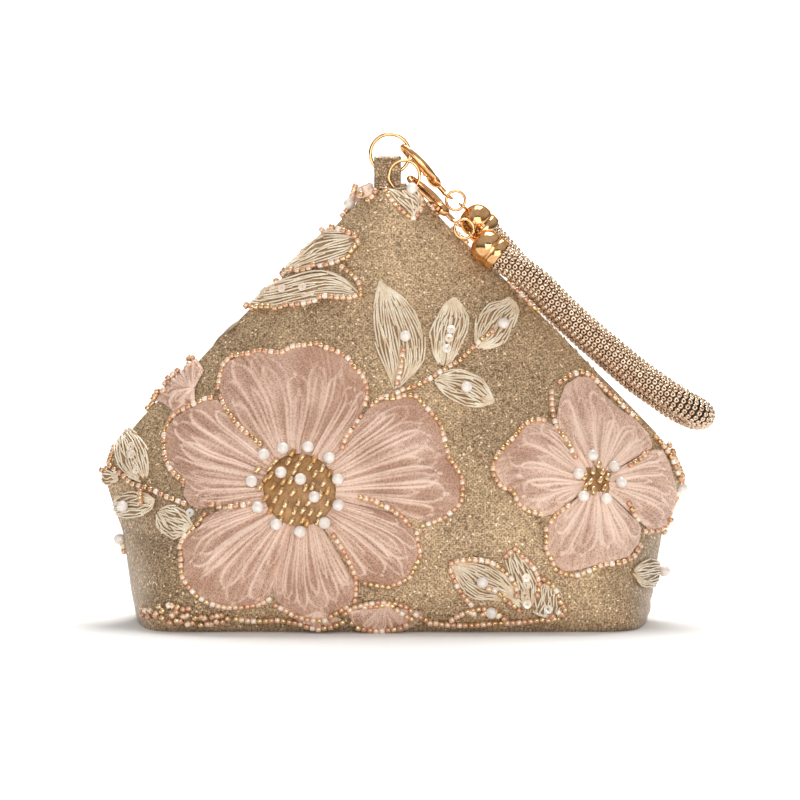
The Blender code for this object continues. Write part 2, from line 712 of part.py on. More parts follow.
def make_hardware():
    rims = []
    for side, chain in CHAINS.items():
        jump_dir = Vector(chain["jump"]).normalized()
        eye_dir = Vector(chain["eye"]).normalized()
        cap_dir = Vector(chain["cap"]).normalized()
        ring_axis = Vector((0, -1, 0)) + jump_dir * jump_dir.y
        ring_axis.normalize()
        hole_axis = jump_dir.cross(ring_axis)
        eye = make_claw("claw_" + side, chain, hole_axis)
        centre = eye + jump_dir * JUMP_R
        adopt(torus("jump", centre, ring_axis, JUMP_R, JUMP_WIRE, 20, 6), "jump_ring_" + side, "gold_metal")
        eye_dir = (eye_dir - ring_axis * eye_dir.dot(ring_axis)).normalized()
        cap_eye = centre + eye_dir * JUMP_R
        cap_name = "end_cap_" + side
        cup = make_cap(cap_name, cap_eye, cap_dir)
        loop = torus("loop", cap_eye, eye_dir.cross(ring_axis), CAP_EYE_R, CAP_EYE_WIRE, 14, 6)
        adopt(boolean(cup, [loop], 'UNION'), cap_name, "gold_metal")
        rims.append((cap_eye + cap_dir * CAP_REACH, cap_dir))
    make_strap(rims)


def main():
    global parts, cutters
    clear_scene()
    parts = new_collection("evening_clutch")
    cutters = new_collection("cutters")
    make_pouch()
    make_zip()
    make_flower(LARGE_FLOWER, LARGE_PETALS, "large_flower", INNER_PEARLS)
    make_flower(SMALL_FLOWER, SMALL_PETALS, "small_flower", 0)
    for row in LEAVES:
        make_leaf(row)
    make_ribbon_loop("apex_tab", TAB, TAB_RING["wire"], "tab_leather")
    make_ribbon_loop("front_loop", FRONT_LOOP, FRONT_RING["wire"], "linen_tissue")
    make_ring("tab_ring", TAB_RING, TAB["y"])
    make_ring("front_ring", FRONT_RING, FRONT_LOOP["y"])
    make_hardware()


main()
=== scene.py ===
# %% [markdown]
# # An evening clutch
# The object is a small soft pouch shaped like a pyramid, in linen woven with metal thread. Gathered
# net petals, thread leaves, pearls and beads are sewn to its front, and a wrist loop of round metal
# mesh hangs from two rings at its peak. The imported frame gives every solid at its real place, so
# each piece here is modelled straight onto it, in metres.

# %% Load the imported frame
import math
import random

import bmesh
import bpy
from mathutils import Matrix, Vector, noise
from mathutils.bvhtree import BVHTree


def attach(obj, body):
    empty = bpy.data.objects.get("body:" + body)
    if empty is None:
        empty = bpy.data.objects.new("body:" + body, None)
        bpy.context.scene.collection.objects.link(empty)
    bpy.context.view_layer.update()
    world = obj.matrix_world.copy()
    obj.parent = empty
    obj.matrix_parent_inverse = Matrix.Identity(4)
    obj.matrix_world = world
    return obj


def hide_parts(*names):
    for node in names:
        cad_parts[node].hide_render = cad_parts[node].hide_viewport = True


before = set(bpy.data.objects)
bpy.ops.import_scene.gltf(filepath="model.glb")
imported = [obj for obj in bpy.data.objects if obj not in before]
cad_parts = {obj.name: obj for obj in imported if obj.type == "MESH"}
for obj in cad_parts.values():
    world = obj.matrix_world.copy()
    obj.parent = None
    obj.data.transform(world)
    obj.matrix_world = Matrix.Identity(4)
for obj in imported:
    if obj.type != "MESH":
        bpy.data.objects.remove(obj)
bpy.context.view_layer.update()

MM = 0.001
CLUTCH = "clutch"
rng = random.Random(7)

# %% [markdown]
# ## Camera
# The photograph is taken from straight in front and about four degrees above, through a long lens,
# so lines hardly converge. One pixel of the 800 pixel picture is about 0.33 mm at the clutch. The
# camera comes first, because pieces on the front are placed by following its rays to the cloth.

# %% Camera
PIXEL = 0.33 * MM
PICTURE_MIDDLE = 400
LENS = 200.0
SENSOR = 36.0
TILT = math.radians(4.0)
AIM = Vector((2.6, 0.0, 73.0)) * MM
FRAME_WIDTH = 800 * PIXEL
back = Vector((0.0, -math.cos(TILT), math.sin(TILT)))
camera_up = Vector((0.0, math.sin(TILT), math.cos(TILT)))
camera_place = AIM + back * (FRAME_WIDTH * LENS / SENSOR)


def make_camera():
    data = bpy.data.cameras.new("photo_camera")
    data.lens = LENS
    data.sensor_width = SENSOR
    data.clip_start = 0.05
    data.clip_end = 60.0
    camera = bpy.data.objects.new("photo_camera", data)
    bpy.context.scene.collection.objects.link(camera)
    camera.location = camera_place
    camera.rotation_euler = (-back).to_track_quat('-Z', 'Y').to_euler()
    bpy.context.scene.camera = camera
    return camera


make_camera()
print("camera stands", round(camera_place.length, 3), "m away")

# %% [markdown]
# ## Node helpers
# Every finish is one Principled shader that a few nodes feed. An input takes a number, a colour or
# another node's socket in the same way, so that each node is added and joined in one call.

# %% Node helpers
def plug(socket, value):
    """Sets an input to a value, or joins it to the socket that is given instead."""
    if isinstance(value, bpy.types.NodeSocket):
        socket.id_data.links.new(value, socket)
    else:
        socket.default_value = value


def feed(node, **values):
    """Plugs a node's inputs by their labels."""
    for key, value in values.items():
        plug(node.inputs[key.replace("_", " ")], value)


def add_node(tree, kind, **values):
    """A node whose lower-case values are properties and whose other values are inputs."""
    made = tree.nodes.new(kind)
    for key, value in values.items():
        if key[0].islower():
            setattr(made, key, value)
        else:
            feed(made, **{key: value})
    return made


def start_material(name, roughness, metallic=0.0, **constants):
    made = bpy.data.materials.new(name)
    made.use_nodes = True
    shader = made.node_tree.nodes["Principled BSDF"]
    feed(shader, Roughness=roughness, Metallic=metallic, **constants)
    return made, made.node_tree, shader


def new_group(name, inputs, outputs):
    group = bpy.data.node_groups.new(name, 'ShaderNodeTree')
    for label, value in inputs:
        socket = group.interface.new_socket(label, in_out='INPUT', socket_type='NodeSocketFloat')
        socket.default_value = value
    for label in outputs:
        group.interface.new_socket(label, in_out='OUTPUT', socket_type='NodeSocketFloat')
    return group, group.nodes.new('NodeGroupInput'), group.nodes.new('NodeGroupOutput')


def math_node(tree, operation, *values):
    """The result of a sum on two or three numbers or sockets."""
    made = add_node(tree, 'ShaderNodeMath', operation=operation)
    for socket, value in zip(made.inputs, values):
        plug(socket, value)
    return made.outputs[0]


def map_range(tree, value, **limits):
    return add_node(tree, 'ShaderNodeMapRange', Value=value, **limits).outputs["Result"]


def colour_mix(tree, mask, low, high):
    """Two colours mixed by a mask, where each is a tuple or a socket."""
    made = add_node(tree, 'ShaderNodeMix', data_type='RGBA', Factor=mask)
    for socket, value in ((made.inputs[6], low), (made.inputs[7], high)):
        plug(socket, (*value, 1) if isinstance(value, tuple) else value)
    return made.outputs[2]


# %% [markdown]
# ## Stage and light
# A wide pale floor runs back to a white wall, under soft light from all round. Polished metal shows
# what is round it, so the sky is darker near the horizon: that puts the dark bands into the gold
# that tell the eye it is metal, and a black card behind the camera does the same for the domed
# caps. A lamp above and behind throws the soft shadow forward, and a wide one in front adds
# highlights.

# %% Stage and light
FLOOR_SIZE = 60.0
WALL_PLACE = (0, 2.8, 0)
WALL_SIZE = 2.4
CARD_PLACE = (0.3, -2.5, 1.1)
CARD_SIZE = 1.7
SKY_STOPS = ((0.08, (0.13, 0.11, 0.09, 1)), (0.55, (1.0, 1.0, 1.0, 1)))
SKY_STRENGTH = 0.56


def make_paper(name, near, far):
    """White paper that glows a little, less near the clutch so that its soft shadow shows."""
    paper, tree, shader = start_material(name, 0.9, Base_Color=(0.90, 0.90, 0.90, 1),
                                         Specular_IOR_Level=0.0, Emission_Color=(1, 1, 1, 1))
    place = add_node(tree, 'ShaderNodeTexCoord').outputs["Object"]
    far_off = add_node(tree, 'ShaderNodeVectorMath', operation='LENGTH', Vector=place).outputs["Value"]
    feed(shader, Emission_Strength=map_range(tree, far_off, From_Min=0.22, From_Max=0.9,
                                             To_Min=near, To_Max=far))
    return paper


def stage_sheet(name, size, place, paper, tilt=math.pi / 2):
    """A square sheet of the stage, which stands and faces the clutch or lies flat."""
    bpy.ops.object.select_all(action='DESELECT')
    bpy.ops.mesh.primitive_plane_add(size=size, location=place, rotation=(tilt, 0, 0))
    sheet = bpy.context.object
    sheet.name = name
    bpy.ops.object.transform_apply(location=True, rotation=True)
    sheet.data.materials.append(paper)


def make_lamp(name, place, size, energy, colour):
    data = bpy.data.lights.new(name, 'AREA')
    data.size = size
    data.energy = energy
    data.color = colour
    lamp = bpy.data.objects.new(name, data)
    bpy.context.scene.collection.objects.link(lamp)
    lamp.location = place
    lamp.rotation_euler = (AIM - Vector(place)).to_track_quat('-Z', 'Y').to_euler()


def make_sky():
    world = bpy.data.worlds.new("studio")
    bpy.context.scene.world = world
    world.use_nodes = True
    tree = world.node_tree
    place = add_node(tree, 'ShaderNodeTexCoord').outputs["Generated"]
    split = add_node(tree, 'ShaderNodeSeparateXYZ', Vector=place)
    ramp = add_node(tree, 'ShaderNodeValToRGB', Fac=split.outputs["Z"])
    for stop, (share, colour) in zip(ramp.color_ramp.elements, SKY_STOPS):
        stop.position = share
        stop.color = colour
    feed(tree.nodes["Background"], Color=ramp.outputs["Color"], Strength=SKY_STRENGTH)


black_paper = start_material("Black card", 0.9, Base_Color=(0.01, 0.01, 0.01, 1))[0]
stage_sheet("floor", FLOOR_SIZE, (0, 0, 0), make_paper("Floor paper", 0.03, 0.65), tilt=0)
stage_sheet("backdrop", WALL_SIZE, WALL_PLACE, make_paper("Backdrop paper", 1.0, 1.0))
stage_sheet("black_card", CARD_SIZE, CARD_PLACE, black_paper)
make_sky()
make_lamp("overhead_lamp", (0.12, 0.42, 1.15), 0.6, 14.5, (1.0, 0.98, 0.95))
make_lamp("front_lamp", (0.15, -1.25, 0.20), 1.0, 9.8, (1.0, 0.97, 0.92))
bpy.context.scene.view_settings.view_transform = 'Standard'
print("stage set")

# %% [markdown]
# ## Materials
# Three effects come back in several finishes, so each is a node group that is built once: a slubby
# weave with metal thread whose sparkle is painted into the colour as pale flecks, the fine cells of
# net, and the faint stains and specks of thread, metal and leather. Each material places a group
# with its own values and keeps its shader to itself.

# %% Weave, net and mottle groups
def make_weave():
    group, entry, leave = new_group("Metallic weave", (("Threads", 1500.0), ("Sparkle", 0.08)),
                                    ("Shade", "Spark", "Height"))
    place = add_node(group, 'ShaderNodeTexCoord').outputs["Object"]
    layers = []
    for stretch in ((0.30, 0.6, 1.0), (1.0, 0.6, 0.30)):
        turned = add_node(group, 'ShaderNodeMapping', Scale=stretch, Vector=place)
        slub = add_node(group, 'ShaderNodeTexNoise', Detail=2.0, Roughness=0.6,
                        Scale=entry.outputs["Threads"], Vector=turned.outputs["Vector"])
        layers.append(slub.outputs["Fac"])
    crossing = math_node(group, 'MAXIMUM', *layers)
    cloudy = add_node(group, 'ShaderNodeTexNoise', Scale=45.0, Detail=3.0, Vector=place)
    blend = math_node(group, 'MULTIPLY_ADD', cloudy.outputs["Fac"], 0.20, -0.10)
    shade = map_range(group, math_node(group, 'ADD', crossing, blend), From_Min=0.40, From_Max=0.72)
    flat = add_node(group, 'ShaderNodeCombineXYZ')
    for label, along in (("X", (0.72, 0.5, 0.72)), ("Y", (-0.72, 0.5, 0.72))):
        reach = add_node(group, 'ShaderNodeVectorMath', operation='DOT_PRODUCT', Vector=place)
        plug(reach.inputs[1], along)
        plug(flat.inputs[label], reach.outputs["Value"])
    gaps = add_node(group, 'ShaderNodeTexVoronoi', voronoi_dimensions='2D', Scale=980.0,
                    Randomness=0.45, Vector=flat.outputs["Vector"])
    gap = map_range(group, gaps.outputs["Distance"], From_Min=0.12, From_Max=0.42,
                    To_Min=0.45, To_Max=1.08)
    # Pale gold flecks: the metal thread's own colour, with its glint painted in as a painted highlight.
    glint_cells = add_node(group, 'ShaderNodeTexVoronoi', Scale=1900.0, Vector=place)
    split = add_node(group, 'ShaderNodeSeparateColor', Color=glint_cells.outputs["Color"])
    limit = math_node(group, 'SUBTRACT', 1.0, entry.outputs["Sparkle"])
    feed(leave, Shade=math_node(group, 'MULTIPLY', shade, gap), Height=crossing,
         Spark=math_node(group, 'GREATER_THAN', split.outputs["Red"], limit))
    return group


def make_net():
    group, entry, leave = new_group("Net holes", (("Holes", 1500.0),), ("Threads",))
    place = add_node(group, 'ShaderNodeUVMap', uv_map="cloth").outputs["UV"]
    turned = add_node(group, 'ShaderNodeMapping', Rotation=(0, 0, 0.7), Vector=place)
    cells = add_node(group, 'ShaderNodeTexVoronoi', feature='DISTANCE_TO_EDGE', Randomness=0.75,
                     Scale=entry.outputs["Holes"], Vector=turned.outputs["Vector"])
    feed(leave, Threads=map_range(group, cells.outputs["Distance"], From_Min=0.22, From_Max=0.06))
    return group


def make_mottle():
    group, entry, leave = new_group("Mottle", (("Patches", 300.0), ("Specks", 2500.0)),
                                    ("Patch", "Speck"))
    place = add_node(group, 'ShaderNodeTexCoord').outputs["Object"]
    for label, result, detail in (("Patches", "Patch", 4.0), ("Specks", "Speck", 2.0)):
        made = add_node(group, 'ShaderNodeTexNoise', Detail=detail, Scale=entry.outputs[label],
                        Vector=place)
        plug(leave.inputs[result], map_range(group, made.outputs["Fac"], From_Min=0.3, From_Max=0.7))
    return group


weave_group = make_weave()
net_group = make_net()
mottle_group = make_mottle()
print("groups", [group.name for group in bpy.data.node_groups])

# %% Linen, net, thread and leather
def place_group(tree, group, **values):
    return add_node(tree, 'ShaderNodeGroup', node_tree=group, **values).outputs


def add_bump(tree, shader, height, strength, distance):
    bump = add_node(tree, 'ShaderNodeBump', Strength=strength, Distance=distance, Height=height)
    feed(shader, Normal=bump.outputs["Normal"])


def make_linen():
    made, tree, shader = start_material("Metallic linen", 0.46, 0.25, Sheen_Weight=0.15)
    weave = place_group(tree, weave_group, Threads=2300.0, Sparkle=0.018)
    cloth = colour_mix(tree, weave["Shade"], (0.12, 0.062, 0.026), (0.80, 0.575, 0.34))
    # The spark mask paints pale gold flecks into the colour: metal thread plus a painted glint.
    feed(shader, Base_Color=colour_mix(tree, weave["Spark"], cloth, (0.96, 0.78, 0.54)))
    add_bump(tree, shader, weave["Height"], 0.5, 0.15 * MM)
    return made


def make_tulle(name, low, high, thin, thick):
    """Net that gets denser where the fold attribute is high, and paler there: doubled net and a painted
    highlight.
    """
    made, tree, shader = start_material(name, 0.65, 0.0, Sheen_Weight=0.35)
    threads = place_group(tree, net_group, Holes=1600.0)["Threads"]
    fold = add_node(tree, 'ShaderNodeAttribute', attribute_name="fold").outputs["Fac"]
    solid = map_range(tree, fold, To_Min=thin, To_Max=thick)
    cover = math_node(tree, 'ADD', solid, math_node(tree, 'MULTIPLY', threads, 0.42))
    cover.node.use_clamp = True
    feed(shader, Base_Color=colour_mix(tree, fold, low, high), Alpha=cover)
    add_bump(tree, shader, threads, 0.25, 0.08 * MM)
    return made


def make_thread(name, low, high, roughness):
    made, tree, shader = start_material(name, roughness, 0.0, Sheen_Weight=0.12)
    mottle = place_group(tree, mottle_group, Patches=260.0, Specks=2200.0)
    specks = math_node(tree, 'MULTIPLY', mottle["Speck"], 0.4)
    mask = math_node(tree, 'MULTIPLY_ADD', mottle["Patch"], 0.6, specks)
    feed(shader, Base_Color=colour_mix(tree, mask, low, high))
    add_bump(tree, shader, mottle["Speck"], 0.3, 0.05 * MM)
    return made


def make_leather():
    made, tree, shader = start_material("Crackled gold leather", 0.38, 0.55)
    place = add_node(tree, 'ShaderNodeTexCoord').outputs["Object"]
    cracks = add_node(tree, 'ShaderNodeTexVoronoi', feature='DISTANCE_TO_EDGE', Scale=1150.0,
                      Vector=place)
    worn = map_range(tree, cracks.outputs["Distance"], From_Min=0.02, From_Max=0.16)
    mottle = place_group(tree, mottle_group, Patches=350.0, Specks=2500.0)
    gold = colour_mix(tree, mottle["Patch"], (0.22, 0.14, 0.075), (0.64, 0.46, 0.29))
    feed(shader, Base_Color=colour_mix(tree, worn, (0.12, 0.075, 0.035), gold))
    add_bump(tree, shader, worn, 0.5, 0.12 * MM)
    return made


linen = make_linen()
# Its high colour is the crest colour: doubled net and a painted highlight.
petal_net = make_tulle("Gathered pink net", (0.61, 0.35, 0.24), (0.94, 0.71, 0.585), 0.36, 0.90)
leaf_thread = make_thread("Cream satin thread", (0.66, 0.45, 0.26), (1.0, 0.95, 0.80), 0.30)
# The pad is darker than the linen: partly its own tone, partly painted shade between the stitches.
leaf_ground_and_shade = make_thread("Thread ground and painted gap shade", (0.26, 0.15, 0.07), (0.50, 0.34, 0.19), 0.6)
tape_cloth = make_thread("Zip tape", (0.22, 0.16, 0.095), (0.36, 0.27, 0.17), 0.8)
lining = make_thread("Lining", (0.30, 0.22, 0.14), (0.40, 0.31, 0.20), 0.7)
tab_leather = make_leather()

# %% Metal, beads and pearls
def make_polished(name, low, high, roughness, metallic, **constants):
    """A hard glossy finish with faint stains and specks in colour and gloss."""
    made, tree, shader = start_material(name, roughness, metallic, **constants)
    mottle = place_group(tree, mottle_group, Patches=500.0, Specks=4000.0)
    feed(shader, Base_Color=colour_mix(tree, mottle["Patch"], low, high),
         Roughness=map_range(tree, mottle["Speck"], To_Min=roughness * 0.75, To_Max=roughness * 1.35))
    return made


gold = make_polished("Light gold plate", (0.66, 0.34, 0.13), (0.90, 0.56, 0.29), 0.12, 1.0,
                     Specular_Tint=(0.85, 0.55, 0.28, 1))
mesh_metal = make_polished("Rose gold mesh", (0.52, 0.35, 0.23), (0.93, 0.74, 0.57), 0.15, 1.0)
# A near-black core inside the wrist loop: painted shade for the tube's dark inside.
mesh_shade_core = make_polished("Mesh shadow", (0.012, 0.010, 0.009), (0.05, 0.035, 0.025), 0.35, 0.6)
pearl = make_polished("Pearl", (0.76, 0.67, 0.60), (0.95, 0.90, 0.85), 0.28, 0.0,
                      Coat_Weight=0.9, Coat_Roughness=0.05)
heart_cloth = make_thread("Amber heart cloth", (0.20, 0.085, 0.025), (0.70, 0.40, 0.16), 0.45)
BEAD_FINISHES = {
    # name: label, dark, light, roughness, metallic, coat weight, coat roughness
    "copper": ("Copper glass bead", (0.56, 0.28, 0.14), (0.88, 0.53, 0.33), 0.16, 0.45, 0.8, 0.05),
    "peach": ("Peach glass bead", (0.80, 0.48, 0.30), (0.99, 0.76, 0.56), 0.14, 0.3, 0.8, 0.05),
    "gold": ("Gold-lined bead", (0.62, 0.36, 0.15), (0.98, 0.76, 0.48), 0.14, 0.75, 0.0, 0.03),
    "clear": ("Clear cream bead", (0.90, 0.70, 0.54), (0.99, 0.88, 0.76), 0.10, 0.1, 0.9, 0.04),
    "amber": ("Amber bugle bead", (0.42, 0.19, 0.05), (0.82, 0.50, 0.20), 0.18, 0.45, 0.7, 0.06),
    "white": ("White sequin", (0.86, 0.83, 0.80), (0.97, 0.96, 0.95), 0.16, 0.0, 0.5, 0.06),
}
bead_finishes = {name: make_polished(*row, Coat_Weight=coat, Coat_Roughness=coat_roughness)
                 for name, (*row, coat, coat_roughness) in BEAD_FINISHES.items()}
print("materials", len(bpy.data.materials))

# %% [markdown]
# ## Making pieces by hand
# Every piece goes through the same few motions: nothing else is selected, a primitive is added or a
# mesh is built from points, it is shaped in edit mode, and the finished mesh gets its name, its finish
# and the body it rides on. These helpers keep those motions short.

# %% Piece helpers
def start_clean():
    if bpy.context.object and bpy.context.object.mode != 'OBJECT':
        bpy.ops.object.mode_set(mode='OBJECT')
    bpy.ops.object.select_all(action='DESELECT')


def choose(obj):
    start_clean()
    obj.select_set(True)
    bpy.context.view_layer.objects.active = obj
    return obj


def settle(obj):
    """Puts a piece's place into its mesh."""
    choose(obj)
    bpy.ops.object.transform_apply(location=True, rotation=True, scale=True)
    return obj


def apply_all(obj):
    choose(obj)
    for step in list(obj.modifiers):
        bpy.ops.object.modifier_apply(modifier=step.name)
    return obj


def hand_over(obj, name, finish, body=CLUTCH, smooth=40.0, replaces=()):
    """Names a finished piece, dresses it and seats it on its body."""
    settle(obj)
    obj.name = name
    if finish is not None:
        obj.data.materials.clear()
        obj.data.materials.append(finish)
    bpy.ops.object.shade_smooth_by_angle(angle=math.radians(smooth))
    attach(obj, body)
    if replaces:
        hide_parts(*replaces)
    return obj


def mesh_piece(name, verts, faces):
    """A new object from points and faces, for shapes that no operator draws."""
    start_clean()
    mesh = bpy.data.meshes.new(name)
    mesh.from_pydata([tuple(v) for v in verts], [], faces)
    obj = bpy.data.objects.new(name, mesh)
    bpy.context.scene.collection.objects.link(obj)
    return choose(obj)


def thicken(obj, thickness, **settings):
    """Gives a sheet its wall, which grows inwards."""
    wall = obj.modifiers.new("wall", 'SOLIDIFY')
    wall.thickness = thickness
    wall.offset = -1.0
    for key, value in settings.items():
        setattr(wall, key, value)
    return apply_all(obj)


def turn_out(obj):
    """Turns all faces of a piece outwards."""
    choose(obj)
    bpy.ops.object.mode_set(mode='EDIT')
    bpy.ops.mesh.select_all(action='SELECT')
    bpy.ops.mesh.normals_make_consistent(inside=False)
    bpy.ops.object.mode_set(mode='OBJECT')
    return obj


def as_shape(obj):
    """Turns a small finished piece into plain points and faces that can be copied."""
    shape = ([v.co.copy() for v in obj.data.vertices], [tuple(p.vertices) for p in obj.data.polygons])
    bpy.data.objects.remove(obj)
    return shape


def grid_faces(rows, columns, round_rows=False, round_columns=False, start=0):
    """Quads over a grid of points kept row by row, closed into a ring where asked."""
    faces = []
    for i in range(rows if round_rows else rows - 1):
        for j in range(columns if round_columns else columns - 1):
            below = start + i * columns
            above = start + (i + 1) % rows * columns
            after = (j + 1) % columns
            faces.append((below + j, below + after, above + after, above + j))
    return faces


def axes(x, y, z):
    """A turn whose X, Y and Z run along three directions."""
    return Matrix((x, y, z)).transposed().to_4x4()


def heading(points, k):
    """The way a route runs at one of its points."""
    return points[min(k + 1, len(points) - 1)] - points[max(k - 1, 0)]


def smooth_route(points, count):
    """Even steps along a smooth curve through the points."""
    pts = [Vector(p) for p in points]
    pts = [pts[0] * 2 - pts[1]] + pts + [pts[-1] * 2 - pts[-2]]
    fine = []
    for i in range(1, len(pts) - 2):
        a, b, c, d = pts[i - 1:i + 3]
        for k in range(12):
            t = k / 12
            fine.append(0.5 * (2 * b + (c - a) * t + (2 * a - 5 * b + 4 * c - d) * t ** 2
                               + (3 * b - a - 3 * c + d) * t ** 3))
    fine.append(pts[-2])
    return even_steps(fine, count)


def even_steps(fine, count):
    lengths = [0.0]
    for a, b in zip(fine, fine[1:]):
        lengths.append(lengths[-1] + (b - a).length)
    out = []
    at = 0
    for k in range(count):
        want = lengths[-1] * k / (count - 1)
        while at < len(fine) - 2 and lengths[at + 1] < want:
            at += 1
        share = (want - lengths[at]) / max(lengths[at + 1] - lengths[at], 1e-12)
        out.append(fine[at].lerp(fine[at + 1], min(share, 1.0)))
    return out


def route_length(points):
    return sum((Vector(b) - Vector(a)).length for a, b in zip(points, points[1:]))


# %% [markdown]
# ## The pouch
# The real pouch is two linen panels over a stiff lining, boxy at the base and pinched to a fold at
# both sides and at the peak. It could be a subdivided box, but its section changes from a rounded
# box to a lens on the way up, so a tall cylinder is cut into many rings and each ring is pulled to
# the half width and half depth of its height. The right-hand edge stays open for the zip, the wall
# gets its thickness last, and a little noise gives the cloth its soft dents.

# %% Pouch shape
HEIGHT = 142.5 * MM
HALF_WIDTH = 95.0 * MM
HALF_DEPTH = 37.5 * MM
FOLD_HALF = 2.2 * MM
MOUTH_HALF = 4.0 * MM
MOUTH_LOW = 0.40
PEAK_OPEN = 0.91
MOUTH_BLEND = 0.07
CLOTH_WALL = 1.7 * MM
PANEL_STEPS = 72
RING_COUNT = 84
SECTIONS = (
    # height, half width, half depth, squareness
    (0.000, 0.885, 0.860, 26.0),
    (0.015, 0.892, 0.930, 24.0),
    (0.040, 0.897, 0.975, 20.0),
    (0.083, 0.908, 0.995, 14.0),
    (0.210, 0.940, 0.985, 6.0),
    (0.330, 1.000, 0.900, 3.2),
    (0.400, 0.960, 0.830, 2.5),
    (0.440, 0.910, 0.780, 2.2),
    (0.510, 0.810, 0.700, 2.0),
    (0.585, 0.700, 0.620, 2.0),
    (0.655, 0.600, 0.540, 2.0),
    (0.745, 0.460, 0.430, 2.0),
    (0.820, 0.345, 0.350, 2.0),
    (0.910, 0.200, 0.275, 2.0),
    (0.970, 0.118, 0.242, 2.0),
    (1.000, 0.094, 0.232, 2.0),
)


def section(z):
    """Half width, half depth and squareness of the pouch at a height."""
    share = min(max(z / HEIGHT, 0.0), 1.0)
    for low, high in zip(SECTIONS, SECTIONS[1:]):
        if share <= high[0]:
            t = (share - low[0]) / (high[0] - low[0])
            width, depth, square = [a + (b - a) * t for a, b in zip(low[1:], high[1:])]
            return width * HALF_WIDTH, depth * HALF_DEPTH, square
    return None


def half_depth(x, z):
    width, depth, square = section(z)
    mouth_from = MOUTH_LOW if x > 0 else PEAK_OPEN
    spread = (z / HEIGHT - mouth_from) / MOUTH_BLEND + 1.0
    end = FOLD_HALF + (MOUTH_HALF - FOLD_HALF) * min(max(spread, 0.0), 1.0)
    return end + (depth - end) * (1 - min(abs(x) / width, 1.0) ** square)


def cloth_dent(x, y, z):
    """How far the linen stands in or out at a place: broad dents, fine puckers, corner ripples."""
    broad = noise.noise(Vector((x, y, z)) * 38.0) * 0.55 * MM
    fine = noise.noise(Vector((x, y, z)) * 120.0 + Vector((5, 5, 5))) * 0.22 * MM
    corner = math.exp(-((x - 0.078) / 0.012) ** 2 - (z / 0.016) ** 2)
    ripple = math.sin((x * 0.7 + z * 1.2) * 900.0) * 0.45 * MM * corner
    return broad + fine + ripple


def make_pouch():
    start_clean()
    bpy.ops.mesh.primitive_cylinder_add(vertices=2 * PANEL_STEPS, radius=1.0, depth=HEIGHT,
                                        location=(0, 0, HEIGHT / 2), end_fill_type='NGON')
    pouch = settle(bpy.context.object)
    bpy.ops.object.mode_set(mode='EDIT')
    bpy.ops.mesh.select_mode(type='EDGE')
    bpy.ops.mesh.select_all(action='DESELECT')
    bm = bmesh.from_edit_mesh(pouch.data)
    for edge in bm.edges:
        if abs(edge.verts[0].co.z - edge.verts[1].co.z) > HEIGHT / 2:
            edge.select = True
    bpy.ops.mesh.subdivide(number_cuts=RING_COUNT - 1)
    bpy.ops.mesh.select_mode(type='FACE')
    bm = bmesh.from_edit_mesh(pouch.data)
    half_step = math.pi / (2 * PANEL_STEPS)
    for vert in bm.verts:
        angle = math.atan2(vert.co.y, vert.co.x) + half_step
        steps = round(angle / (2 * half_step) - 0.5) + 0.5
        angle = steps * 2 * half_step
        z = vert.co.z
        x = section(z)[0] * math.cos(angle) / math.cos(half_step)
        y = math.copysign(half_depth(x, z), math.sin(angle))
        vert.co = Vector((x, y, z))
    mouth_z = MOUTH_LOW * HEIGHT
    gone = [f for f in bm.faces if f.calc_center_median().z > HEIGHT - 0.1 * MM
            or (all(v.co.x > section(v.co.z)[0] - 0.01 * MM for v in f.verts)
                and f.calc_center_median().z > mouth_z and len(f.verts) == 4)]
    bmesh.ops.delete(bm, geom=gone, context='FACES')
    bm.normal_update()
    moves = [(v, v.normal * cloth_dent(*v.co)) for v in bm.verts if 1.5 * MM < v.co.z < 0.97 * HEIGHT]
    for vert, move in moves:
        vert.co += move
    base = max(bm.faces, key=lambda f: len(f.verts))
    for face in bm.faces:
        face.select = False
    base.select = True
    bpy.ops.mesh.inset(thickness=1.2 * MM)
    bpy.ops.transform.translate(value=(0, 0, 0.2 * MM))
    bpy.ops.mesh.inset(thickness=9.0 * MM)
    bpy.ops.object.mode_set(mode='OBJECT')
    pouch.data.materials.append(linen)
    pouch.data.materials.append(lining)
    thicken(pouch, CLOTH_WALL, material_offset=1, material_offset_rim=0)
    return hand_over(pouch, "linen_pouch", None, smooth=60.0, replaces=("pouch_shell",))


pouch = make_pouch()
pouch_tree = BVHTree.FromObject(pouch, bpy.context.evaluated_depsgraph_get())
print("pouch faces", len(pouch.data.polygons))

# %% [markdown]
# ## Finding a place on the cloth
# Petals, leaves and beads are laid out on the photograph and then sewn to the cloth. A ray runs
# from the camera through the place in the picture to the pouch. Where a place lies just past the
# outline, the piece wraps round the edge, so the nearest cloth is taken.

# %% From the picture to the cloth
FRONT_LIMIT = 3 * MM


def camera_ray(px, py):
    right = (px - PICTURE_MIDDLE) * PIXEL
    up = (PICTURE_MIDDLE - py) * PIXEL
    through = AIM + Vector((right, 0, 0)) + camera_up * up
    return (through - camera_place).normalized()


def cloth_at(px, py, out=0.0):
    """A point above the pouch behind a place in the picture, and the way out of the cloth there."""
    ray = camera_ray(px, py)
    place, normal, _face, _far = pouch_tree.ray_cast(camera_place, ray)
    if place is None or place.y > FRONT_LIMIT:
        reach = -camera_place.y / ray.y
        beside = camera_place + ray * reach
        place, normal, _face, _far = pouch_tree.find_nearest(beside)
        if (beside - place).dot(normal) < 0:
            normal = -normal
    return place + normal * out, normal


def pixels(text):
    """Reads a row of picture places written as x,y pairs."""
    return [tuple(float(n) for n in pair.split(",")) for pair in text.split()]


for corner in ((392, 190), (300, 491), (595, 482)):
    print(corner, [round(c / MM, 1) for c in cloth_at(*corner)[0]])
